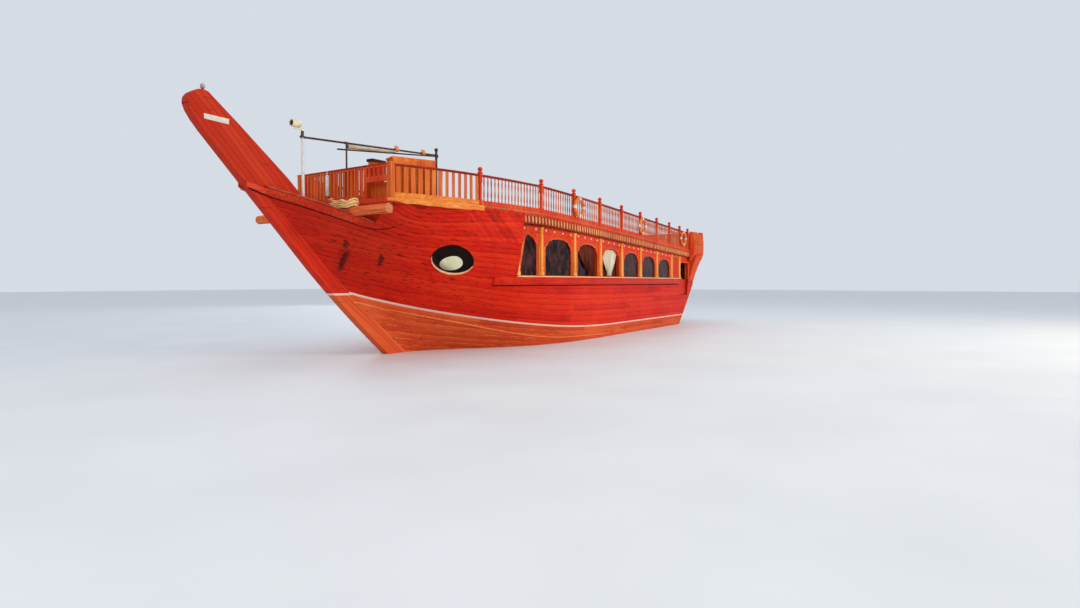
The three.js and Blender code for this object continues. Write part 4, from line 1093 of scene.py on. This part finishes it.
# A coil of spare rope lies on the log. It is laid from natural fibre and wound in layers of oval turns, and its
# upper end is tied in a knot.
rope_fibre, shader, where = finish("rope_fibre")
lay_uv = where.uv("lay")
strand = lay_uv.axis(0) * 24 + lay_uv.axis(1) * 3
# The dark lines where the strands meet are painted shade in the grooves of the lay; they are also pressed in as
# relief.
twist = strand.joints(0.1, 0.5)
fuzz = where.noise(60.0, 4.0)
tone = twist * 0.45 + fuzz * 0.5 + where.noise(3.0, 2.0) * 0.25 - 0.1
colour = tone.ramp((0.2, (0.96, 0.72, 0.34)), (0.55, (0.93, 0.58, 0.21)), (0.9, (0.46, 0.20, 0.055)))
feed(shader, colour, fuzz.step(0.3, 0.7, 0.8, 0.95), fuzz * 0.3 - twist, 0.006)
ROPE = 0.042
COIL_Y = 0.77
LAYERS, STEPS = 4, 40
TURNS, LEAD = 2.25, 0.118
OVAL_RUN = 0.60


def stadium(t, r):
    """Point on the oval that each turn of rope follows, for t from 0 to 1."""
    run = OVAL_RUN
    total = 2 * math.pi * r + 2 * run
    s = (t % 1) * total
    if s < run:
        return r, -run / 2 + s
    s -= run
    if s < math.pi * r:
        a = s / r
        return r * math.cos(a), run / 2 + r * math.sin(a)
    s -= math.pi * r
    if s < run:
        return -r, run / 2 - s
    a = math.pi + (s - run) / r
    return r * math.cos(a), -run / 2 + r * math.sin(a)


rope_line = []
for k in range(round((LAYERS * TURNS + LEAD) * STEPS) + 1):
    t = k / STEPS - LEAD
    layer, part = divmod(max(t, 0), TURNS)
    spin = clamp(part / 2, 0, 1)
    r = lerp(0.172, 0.088, spin if layer % 2 == 0 else 1 - spin)
    rise = layer + clamp((part - 2) / 0.25, 0, 1)
    x, y = stadium(t, r)
    wave = (0.010 + 0.006 * rise) * math.sin(15 * y + 0.7) * clamp(t * 4 + 0.4, 0, 1)
    z = 0.146 - 1.6 * x * x + 0.048 * rise + wave
    rope_line.append((LOG_X + x, COIL_Y + y, beam_z + z))


def rope_shape(name, line, thick, paint, sides=8):
    """A rope along a line, with its lay's UV map, and its length."""
    vertices, faces = tube(line, thick / 2, sides)
    obj = shaped(name, vertices, faces, paint)
    reach, run = [0.0], 0.0
    for a, b in zip(line, line[1:]):
        run += (Vector(b) - Vector(a)).length
        reach.append(run)
    layer = obj.data.uv_layers.new(name="lay")
    for face in obj.data.polygons:
        spots = [divmod(obj.data.loops[i].vertex_index, sides) for i in face.loop_indices]
        wrap = any(j == sides - 1 for _, j in spots) and any(j == 0 for _, j in spots)
        for i, (ring, j) in zip(face.loop_indices, spots):
            turn = 1 if wrap and j == 0 else j / sides
            layer.data[i].uv = (reach[min(ring, len(reach) - 1)], turn)
    return obj, run


rope, rope_run = rope_shape("rope_heap_coil", rope_line, ROPE, rope_fibre)
knot_at = Vector(rope_line[-1])
loops = [[knot_at + Vector((0.030 * math.cos(a) * (1 if k else 0.8), 0.02 * k + 0.012 * math.sin(2 * a),
                            0.030 * math.sin(a) + 0.012)) for a in angles(14)] for k in (0, 1, 2)]
knot = outward(shaped("rope_end_knot", *gathered(*(tube(loop, 0.017, 8, closed=True) for loop in loops)),
                      rope_fibre))
placed(rope, "rope_fibre", "rope_heap")
placed(knot, "rope_fibre")

# Railings round the upper deck: square posts with ball heads carry a moulded hand rail and a base board.
# Flat boards fill the forward bays and thin turned balusters the ones aft of them.
FRONT_X = 10.14
POST_X = [FRONT_X, 7.55, 4.83, 2.87, 0.91, -1.05, -3.01, -4.97, -6.65, -8.15, -9.42]
BOW_DECK = deck_z(FRONT_X)
BALUSTER_FOOT = 0.14
baluster_wood = wood("baluster_wood", (0.34, 0.05, 0.02), (0.60, 0.14, 0.06), (0.76, 0.32, 0.17), "z", 9,
                     gloss=(0.4, 0.6))


def rail_y(x):
    return half(x, FLARE_TOP) - 0.095


def squared(r, z, square):
    """A sixteen-sided ring that goes from round to square."""
    ring = []
    for k in range(16):
        a = 2 * math.pi * (k + 0.5) / 16
        c, s = math.cos(a), math.sin(a)
        push = lerp(1, 1 / max(abs(c), abs(s)), square)
        ring.append((r * c * push, r * s * push, z))
    return ring


POST_ROWS = (
    (0.055, 0, 1), (0.055, 0.16, 1), (0.050, 0.175, 0.6), (0.046, 0.20, 0.3), (0.052, 0.40, 0.2),
    (0.046, 0.60, 0.2), (0.050, 0.66, 0.6), (0.055, 0.675, 1), (0.055, 0.90, 1), (0.064, 0.915, 1),
    (0.064, 0.94, 1), (0.040, 0.952, 0.5), (0.034, 0.962, 0), (0.052, 0.980, 0), (0.068, 1.005, 0),
    (0.071, 1.025, 0), (0.062, 1.055, 0), (0.040, 1.078, 0), (0.014, 1.09, 0),
)
post = lofted([squared(*row) for row in POST_ROWS])
baluster = lathe([
    (0.020, 0), (0.020, 0.06), (0.013, 0.075), (0.022, 0.13), (0.024, 0.20), (0.017, 0.30), (0.014, 0.36),
    (0.017, 0.42), (0.024, 0.52), (0.021, 0.58), (0.013, 0.62), (0.020, 0.635), (0.020, 0.69),
], 8)
board_line = [(-0.052, 0), (0.052, 0), (0.052, 0.69), (-0.052, 0.69)]
flat_board = lofted([[(x * k, y, z) for x, z in board_line]
                     for k, y in ((0.92, -0.014), (1, -0.010), (1, 0.010), (0.92, 0.014))])
RAIL_EDGE = ((-0.030, 0.822), (0.030, 0.822), (0.036, 0.836), (0.050, 0.846), (0.052, 0.862), (0.040, 0.878),
             (0.018, 0.884), (-0.018, 0.884), (-0.040, 0.878), (-0.052, 0.862), (-0.050, 0.846), (-0.036, 0.836))
BASE_EDGE = ((-0.026, 0.001), (0.026, 0.001), (0.026, 0.118), (0.034, 0.126), (0.034, 0.142), (0.024, 0.150),
             (-0.024, 0.150), (-0.034, 0.142), (-0.034, 0.126), (-0.026, 0.118))
for label, side in SIDES:
    xs = spaced(10.16, -9.44, 0.245)
    rail, base = (lofted([[(x, side * (rail_y(x) + y), deck_z(x) + z) for y, z in edge] for x in xs])
                  for edge in (RAIL_EDGE, BASE_EDGE))
    nodes = [f"deck_rail_{part}_{label}" for part in ("fore", "aft")]
    built(f"hand_rail_{label}", rail, rail_wood, "carved_trim", *nodes)
    # The base board changes its finish at the second post: gold ahead of it and red aft of it.
    round_count = len(BASE_EDGE)
    front = sum(x > 7.5 for x in xs) * round_count
    corners, sides = base
    lead = [f for f in sides if max(f) < front + round_count and len(f) == 4]
    rest = [f for f in sides if min(f) >= front and len(f) == 4]
    for kind, kept, wood_here in (("bow", lead, pale_gold), ("aft", rest, post_wood)):
        used = sorted({k for f in kept for k in f})
        again = {k: n for n, k in enumerate(used)}
        ends = [tuple(range(round_count))[::-1], tuple(range(len(used) - round_count, len(used)))]
        built(f"base_board_{kind}_{label}", ([corners[k] for k in used],
                                             [tuple(again[k] for k in f) for f in kept] + ends), wood_here,
              "carved_trim")
    posts = [((x, side * rail_y(x), deck_z(x)), (0, 0, run_turn(rail_y, x, side)), (1, 1, 1)) for x in POST_X[1:]]
    placed(repeated(f"rail_posts_{label}", post_wood, post, posts), "carved_trim")
    corner = lofted([[(FRONT_X + dx * k, side * rail_y(FRONT_X) + dy * k, BOW_DECK + z)
                      for dx, dy in ((-0.075, -0.075), (0.075, -0.075), (0.075, 0.075), (-0.075, 0.075))]
                     for k, z in ((1, 0.001), (1, 0.885), (1.1, 0.89), (1.1, 0.91), (0.7, 0.925))])
    built(f"corner_post_{label}", corner, gilt_wood, "carved_trim")
    thin, flat = [], []
    for a, b in zip(POST_X, POST_X[1:]):
        if a > 9:
            for first, last, wide in ((a - 0.17, 8.86, 1.2), (8.66, b + 0.12, 0.82)):
                flat += [((x, side * rail_y(x), deck_z(x) + BALUSTER_FOOT), (0, 0, run_turn(rail_y, x, side)),
                          (wide, 1, 1)) for x in spaced(first, last, 0.19)]
        else:
            marks = spaced(a, b, 0.14)[1:-1]
            thin += [((x, side * rail_y(x), deck_z(x) + BALUSTER_FOOT), (0, 0, 0), (1, 1, 1)) for x in marks]
    placed(repeated(f"rail_boards_{label}", gilt_wood, flat_board, flat, sway=0.012), "carved_trim")
    placed(repeated(f"rail_balusters_{label}", baluster_wood, baluster, thin, sway=0.01), "carved_trim")
finer("front_rail_boards", "front_rail", post_wood, "carved_trim", bevel=0.006)
CAP_EDGE = ((-0.045, -0.03), (0.045, -0.03), (0.045, 0.004), (0.03, 0.014), (-0.03, 0.014), (-0.045, 0.004))
cap = [[(FRONT_X + x, y, BOW_DECK + 0.905 + z) for x, z in CAP_EDGE] for y in (-1.72, 1.72)]
built("front_rail_cap", lofted(cap), rail_wood, "carved_trim")
# The thin gilt strips across the front rail are painted highlights: they stand for the lit side edges of its
# boards.
boards = [[(10.182, y + w, z) for w, z in ((-0.022, 4.36), (0.022, 4.36), (0.022, 5.10), (-0.022, 5.10))]
          for y in spaced(-1.62, 0.80, 0.142)]
strips = gathered(*(lofted([ring, [(x + 0.012, y, z) for x, y, z in ring]]) for ring in boards))
built("front_rail_strips", strips, gilt_wood, "carved_trim")

# A long pale fender, moulded in plastic, hangs upright outside the front rail. The board below it is nailed
# across the front of the upper deck and covers the ends of its planks.
fender_skin = mottled("fender_skin", (0.62, 0.60, 0.56), (0.86, 0.85, 0.82), (6.0, 4.0), (0.4, 0.6))
fender = lathe([(0.012, 0), (0.035, 0.012), (0.05, 0.04), (0.052, 0.30), (0.05, 0.56), (0.035, 0.588),
                (0.014, 0.60), (0.011, 0.66), (0.011, 0.705)], 18)


def moved(shape, x, y, z):
    vertices, faces = shape
    return [(px + x, py + y, pz + z) for px, py, pz in vertices], faces


built("rail_fender", moved(fender, 10.238, -0.556, 4.45), fender_skin, "lamp_case")
ledge = [[(10.292 + x, y, z) for x, z in ((0, UNDER_DECK), (0.022, 4.132), (0.022, 4.262), (0, 4.262))]
         for y in (-1.86, 1.86)]
built("deck_front_board", lofted(ledge), post_wood, "carved_trim")

# Carved galleries wrap both quarters and the stern: a curved apron under a panelled band with a capping rail.
# Gilt laths and blocks are nailed on at the quarters, and a bracket carries each quarter from below.
gallery_wood = wood("gallery_wood", (0.36, 0.02, 0.006), (0.66, 0.06, 0.014), (0.84, 0.22, 0.05), "z", 9,
                    gloss=(0.4, 0.6))
for name in ("stern_gallery", "quarter_gallery_port", "quarter_gallery_starboard"):
    finer(f"{name}_carving", name, gallery_wood, "carved_trim", bevel=0.02, rounds=3)
TAIL_Z = deck_z(-10.65)
for label, side in SIDES:
    strips, blocks = [], []
    for x in spaced(-9.60, -10.56, 0.16):
        grow = lerp(0.8, 1, clamp((-9.5 - x) / 1.15, 0, 1))
        rows = []
        for out, up in ((0.31, 0.34), (0.31, 0.52), (0.25, 0.64), (0.232, 0.88)):
            y = edge_y(x) + 0.021 + out * grow
            lath = ((-0.036, -0.02), (0.036, -0.02), (0.036, 0.016), (-0.036, 0.016))
            rows.append([(x + w, side * (y + d), TAIL_Z + up) for w, d in lath])
        strips.append(lofted(rows))
        y = edge_y(x) + 0.021 + 0.31 * grow
        blocks.append(lofted([[(x + w * k, side * (y + d), z) for w, z in (
            (-0.05, TAIL_Z + 0.09), (0.05, TAIL_Z + 0.09), (0.05, TAIL_Z + 0.27), (-0.05, TAIL_Z + 0.27))]
            for k, d in ((1, -0.02), (1, 0.008), (0.7, 0.018))]))
    built(f"gallery_strips_{label}", gathered(*strips), gilt_wood, "carved_trim")
    built(f"gallery_blocks_{label}", gathered(*blocks), gilt_wood, "carved_trim")
    fin = []
    for k in range(9):
        t = k / 8
        z = lerp(2.18, 3.46, t)
        out, y = 0.30 * t**1.25, half(-10.2, z)
        back = max(stern_x(z), -10.45) - 0.02 - out
        fin.append([(-9.86 - 0.02 * t, side * (y - 0.10), z), (-9.86 - 0.02 * t, side * (y + 0.018 + out), z),
                    (back, side * (y + 0.014 + out), z), (back, side * (y - 0.34), z),
                    (back + 0.30, side * (y - 0.34), z), (back + 0.30, side * (y - 0.10), z)])
    built(f"quarter_bracket_{label}", lofted(fin), gallery_wood, "carved_trim")

# Life rings hang outside the railings. Each is foam in an orange canvas skin, with four white bands round it,
# and pressed a little flat.
ring_skin, shader, where = finish("ring_skin")
ring_uv = where.uv("ring")
round_at = ring_uv.axis(0)
band = (round_at * 4).joints(0.40, 0.41)
cloth = where.noise(90.0, 3.0)
soil = where.noise(5.0, 4.0)
orange = soil.ramp((0.3, (0.62, 0.11, 0.02)), (0.7, (0.85, 0.24, 0.05)))
white = soil.ramp((0.3, (0.55, 0.50, 0.44)), (0.7, (0.80, 0.77, 0.72)))
feed(shader, orange.mixed(band, white), cloth.step(0.3, 0.7, 0.45, 0.65), cloth, 0.001)
RING_ACROSS, RING_THICK = 0.29, 0.0615
for where_it_is, ring_x, post_x in (("fore", 2.68, 2.87), ("mid", -3.0, -3.01), ("aft", -8.4, -8.15)):
    for label, side in SIDES:
        centre = Vector((ring_x, side * (rail_y(post_x) + 0.109), deck_z(ring_x) + 0.4805))
        circle = [centre + Vector((RING_ACROSS * math.cos(a), 0, RING_ACROSS * math.sin(a))) for a in angles(40)]
        round_tube, sides = tube(circle, RING_THICK, 14, closed=True)
        oval = [(x, centre.y + (y - centre.y) * 0.86, z) for x, y, z in round_tube]
        skin = outward(shaped(f"life_ring_skin_{where_it_is}_{label}", oval, sides, ring_skin))
        layer = skin.data.uv_layers.new(name="ring")
        for face in skin.data.polygons:
            mid = face.center - centre
            for i in face.loop_indices:
                p = skin.data.vertices[skin.data.loops[i].vertex_index].co - centre
                a = math.atan2(p.z, p.x)
                a += 2 * math.pi * round((math.atan2(mid.z, mid.x) - a) / (2 * math.pi))
                layer.data[i].uv = (a / (2 * math.pi) + 2, 0)
        placed(skin, "ring_skin", f"life_ring_{where_it_is}_{label}")

# The helm cabinet stands along the port railing: a varnished locker with an arched door panel to the side, a low
# chest beside it and a narrow locker with a dark lid inboard.
cabinet_wood = wood("cabinet_wood", (0.40, 0.04, 0.008), (0.70, 0.12, 0.018), (0.86, 0.28, 0.05), "z", 10,
                    gloss=(0.4, 0.55))
finer("helm_locker", "helm_cabinet", cabinet_wood, "carved_trim", bevel=0.014, rounds=3)


def arched(width, tall, count=12):
    """Outline of an arched panel that stands on the origin."""
    r = width / 2
    spring = tall - r
    return [(-r, 0), (r, 0)] + [(r * math.cos(a), spring + r * math.sin(a))
                                for a in (math.pi * k / count for k in range(count + 1))]


fore, aft = Vector((9.97, 1.76, 0)), Vector((8.88, 2.19, 0))
run = (aft - fore).normalized()
out = Vector((run.y, -run.x, 0))


def on_face(s, z, depth):
    return tuple(fore + run * s + out * depth + Vector((0, 0, z)))


door = [on_face(0.40 + u, 4.38 + v, 0.002) for u, v in arched(0.46, 0.88)]
built("locker_arch", tube(door, 0.016, 8, closed=True), pale_gold, "carved_trim")
panel = [[on_face(0.40 + u * 0.92, 4.39 + v * 0.96, depth) for u, v in arched(0.46, 0.88)]
         for depth in (-0.002, 0.006)]
built("locker_panel", lofted(panel), gilt_wood, "carved_trim")
lid_edge = ((-0.244, -0.114), (0.244, -0.114), (0.244, 0.114), (-0.244, 0.114))
lid = [[(9.73 + x * k, 0.85 + y * k, z) for x, y in lid_edge]
       for k, z in ((0.99, 5.306), (1, 5.312), (1, 5.372), (0.98, 5.378))]
lid_paint = mottled("lid_paint", (0.020, 0.007, 0.005), (0.08, 0.022, 0.014), (3.0, 4.0), (0.5, 0.7), rub=5.0)
built("locker_lid", lofted(lid), lid_paint, "carved_trim")

# The awning frame is steel pipe on the centreline: three poles on round flanges, the fore one painted white and
# the others dark, with a sloping ridge pipe and a lower one held to them by sleeves.
RIDGE_FORE, RIDGE_AFT, LOW_FORE = 11.46, 6.47, 10.33
FORE_POLE, MID_POLE, AFT_POLE, FORE_FOOT = 11.41, 10.03, 6.51, 3.5
pole_paint, shader, where = finish("pole_paint")
rust = where.stretched(9, 9, 3).noise(2.4, 6.0, 0.7).step(0.60, 0.68)
dirt = where.noise(5.0, 4.0)
paint = dirt.ramp((0.3, (0.56, 0.55, 0.53)), (0.7, (0.80, 0.79, 0.77))).mixed(rust * 0.6, (0.30, 0.12, 0.05))
pole_x = where.axis(0)
pole_z = where.axis(2)
weathered = (pole_x.step(11.30, 11.36, 1.0, 0.0) + pole_z.step(5.74, 5.78)).math("MINIMUM", 1.0)
dark = dirt.ramp((0.3, (0.030, 0.022, 0.020)), (0.7, (0.10, 0.07, 0.06)))
feed(shader, paint.mixed(weathered, dark), dirt.step(0.3, 0.7, 0.3, 0.5), rust, 0.002)


def pipe_z(x):
    return 5.787 + (RIDGE_FORE - x) * 0.336 / 4.99


def low_pipe_z(x):
    return 5.67 + (LOW_FORE - x) * 0.42 / 3.82


def straight(a, b, steps):
    return [tuple(Vector(a).lerp(Vector(b), k / steps)) for k in range(steps + 1)]


def pipe(a, b, radius, steps, sides):
    return tube(straight((a[0], 0, a[1]), (b[0], 0, b[1]), steps), radius, sides)


bars = [
    pipe((FORE_POLE, FORE_FOOT), (FORE_POLE, 5.94), 0.038, 6, 16),
    pipe((MID_POLE, BOW_DECK), (MID_POLE, 5.875), 0.024, 6, 14),
    pipe((AFT_POLE, BOW_DECK), (AFT_POLE, 6.235), 0.038, 6, 16),
    pipe((RIDGE_FORE, pipe_z(RIDGE_FORE)), (RIDGE_AFT, pipe_z(RIDGE_AFT)), 0.027, 20, 12),
    pipe((LOW_FORE, low_pipe_z(LOW_FORE)), (AFT_POLE, low_pipe_z(AFT_POLE)), 0.022, 16, 12),
]
flange = lathe([(0.085, 0), (0.085, 0.012), (0.05, 0.02), (0.045, 0.07)], 16)
for x, z in ((FORE_POLE, FORE_FOOT), (MID_POLE, BOW_DECK), (AFT_POLE, BOW_DECK)):
    bars.append(moved(flange, x, 0, z))
for x, z in ((FORE_POLE, pipe_z(FORE_POLE)), (MID_POLE, pipe_z(MID_POLE)), (AFT_POLE, pipe_z(AFT_POLE)),
             (AFT_POLE, low_pipe_z(6.55))):
    bars.append(pipe((x + 0.06, z), (x - 0.06, z), 0.036, 6, 12))
ball = lathe([(0.02, -0.06), (0.044, -0.042), (0.058, -0.016), (0.058, 0.016), (0.044, 0.042), (0.02, 0.06)], 16)
bars.append(moved(ball, AFT_POLE, 0, 6.29))
built("awning_pipes", gathered(*bars), pole_paint, "pole_metal", "awning_frame")

# The awning: stained and weathered canvas, gathered in loose folds between the ridge pipe and the lower one,
# which carries it.
awning_cloth, shader, where = finish("awning_cloth")
weave_uv = where.uv("cut")
warp = (weave_uv.axis(0) * 2200).math("SINE")
weft = (weave_uv.axis(1) * 2200).math("SINE")
stain = where.noise(2.6, 6.0, 0.65)
cloth = stain.ramp((0.25, (0.30, 0.20, 0.13)), (0.5, (0.56, 0.44, 0.30)), (0.8, (0.78, 0.66, 0.48)))
feed(shader, cloth, stain.step(0.3, 0.7, 0.85, 0.95), warp * weft * 0.1 + stain, 0.004)
ROLL_LONG = 1.74
rows, cols = 44, 64
points, spots = [], []
for i in range(rows + 1):
    x = lerp(9.985, 8.25, i / rows)
    top, low = pipe_z(x) - 0.028, low_pipe_z(x) + 0.023
    mid, r = (top + low) / 2, (top - low) / 2
    for j in range(cols + 1):
        t = j / cols
        a = 2 * math.pi * (0.5 + 2.35 * t)
        fold = 0.12 * math.sin(a * 3 + i * 0.22) + 0.06 * math.sin(a * 7 - i * 0.35)
        d = r * lerp(0.52, 0.93, t) * (1 + fold * lerp(0.6, 0.5, t))
        d = min(d, r * 0.985)
        points.append((x + 0.004 * math.sin(a * 5), d * math.sin(a), mid + d * math.cos(a) * 0.985))
        spots.append((t * 1.6, i / rows * ROLL_LONG))
canvas = shaped("awning_canvas", points, quilt(rows, cols), awning_cloth)
layer = canvas.data.uv_layers.new(name="cut")
for loop in canvas.data.loops:
    layer.data[loop.index].uv = spots[loop.vertex_index]
cloth_area = thickened(canvas, 0.004)
placed(canvas, "awning_cloth", "awning_roll", smooth=60)

# Two cords for tying the awning down are wound round the ridge pipe aft of it. Each has five turns and is tied
# off in a bow.
lashings = []
for x in (8.20, 7.10):
    for k in range(-2, 3):
        r = 0.040 + 0.006 * (k % 2)
        ring = [(x + 0.03 * k + 0.01 * math.sin(3 * a), r * math.cos(a), pipe_z(x) + r * math.sin(a))
                for a in angles(16)]
        lashings.append(tube(ring, 0.014, 8, closed=True))
    for way in (-1, 1):
        bow = [(x + way * (0.05 + 0.05 * math.cos(a)), 0.02 * way, pipe_z(x) + 0.075 + 0.035 * math.sin(a))
               for a in angles(14)]
        lashings.append(tube(bow, 0.013, 8, closed=True))
built("ridge_lashings", gathered(*lashings), leaf_wood, "rope_fibre")

# The lamp on the fore pole: a drum of cream-painted metal with a dark glass front. It stands on a short foot at
# the end of a flat arm, and the arm is fixed over the head of the pole.
lamp_paint = mottled("lamp_paint", (0.62, 0.54, 0.34), (0.86, 0.80, 0.60), (11.0, 5.0), (0.35, 0.6))
dark_glass = mottled("dark_glass", (0.010, 0.008, 0.008), (0.035, 0.022, 0.020), (2.0, 3.0), (0.06, 0.18))
LAMP_Z = 6.095


def laid(shape, x):
    """A turned shape laid along the boat at the lamp's height."""
    vertices, faces = shape
    return [(x + pz, py, LAMP_Z + px) for px, py, pz in vertices], faces


drum = lathe([(0.045, 0), (0.082, 0.012), (0.094, 0.04), (0.094, 0.215), (0.088, 0.222), (0.094, 0.232),
              (0.094, 0.262), (0.078, 0.262), (0.078, 0.225), (0.05, 0.205)], 28)
stand = lathe([(0.034, 0), (0.034, 0.035), (0.024, 0.05), (0.024, 0.062)], 16)
arm = lofted([[(x, y, z) for y, z in ((-0.02, 5.966), (0.02, 5.966), (0.02, 5.989), (-0.02, 5.989))]
              for x in (11.386, 11.64)])
foot = lathe([(0.024, 0), (0.024, 0.03), (0.040, 0.045)], 14)
case = gathered(laid(drum, 11.467), moved(stand, FORE_POLE, 0, 5.9405), arm, moved(foot, 11.60, 0, 5.976))
built("lamp_drum", case, lamp_paint, "lamp_case", "searchlight")
glass = lathe([(0.074, 0), (0.06, 0.010), (0.03, 0.016)], 24)
built("lamp_glass", laid(glass, 11.700), dark_glass, "lamp_case")

# Under water: keel and rudder in faded bottom paint, a steel stern tube and a three-bladed bronze propeller. The
# rudder turns on the transom and the propeller on its shaft.
low_paint = wood("low_paint", (0.34, 0.03, 0.012), (0.58, 0.07, 0.028), (0.74, 0.15, 0.06), "x", 10,
                 gloss=(0.5, 0.7), worn=(0.20, 0.03, 0.015), seams=0.28)
steel = mottled("steel", (0.32, 0.32, 0.33), (0.56, 0.56, 0.57), (6.0, 4.0), (0.25, 0.45), stretch=(1, 30, 30),
                Metallic=0.9)
bronze, shader, where = finish("bronze")
patina = where.noise(9.0, 6.0, 0.65)
feed(shader, patina.ramp((0.3, (0.20, 0.15, 0.07)), (0.55, (0.55, 0.34, 0.12)), (0.8, (0.72, 0.48, 0.20))),
     patina.step(0.3, 0.7, 0.5, 0.28), patina, 0.002, Metallic=0.85)
dress(low_paint, "keel")
dress(steel, "stern_tube")
finer("rudder_blade", "rudder", low_paint, "bottom_paint", body="rudder", bevel=0.01)
finer("propeller_bronze", "propeller", bronze, "bronze", body="propeller", bevel=0.006)

# The boarding gates, one in each side near the stern, are boards of the wale's wood and swing on a pivot in their
# after edge.
for label, _ in SIDES:
    finer(f"gate_boards_{label}", f"boarding_gate_{label}", wale_wood, "red_planking", body=f"gate_{label}",
          bevel=0.008)

# The floor lies at the waterline, pale and plain. It is only there for the picture and stands for nothing of the
# boat.
floor_paint = mottled("floor_paint", (0.72, 0.74, 0.76), (0.76, 0.78, 0.80), (0.4, 2.0), (0.5, 0.6))
FLOOR = 150
floor = shaped("studio_floor", [(-FLOOR, -FLOOR, 0), (FLOOR, -FLOOR, 0), (FLOOR, FLOOR, 0), (-FLOOR, FLOOR, 0)],
               [(0, 1, 2, 3)], floor_paint)
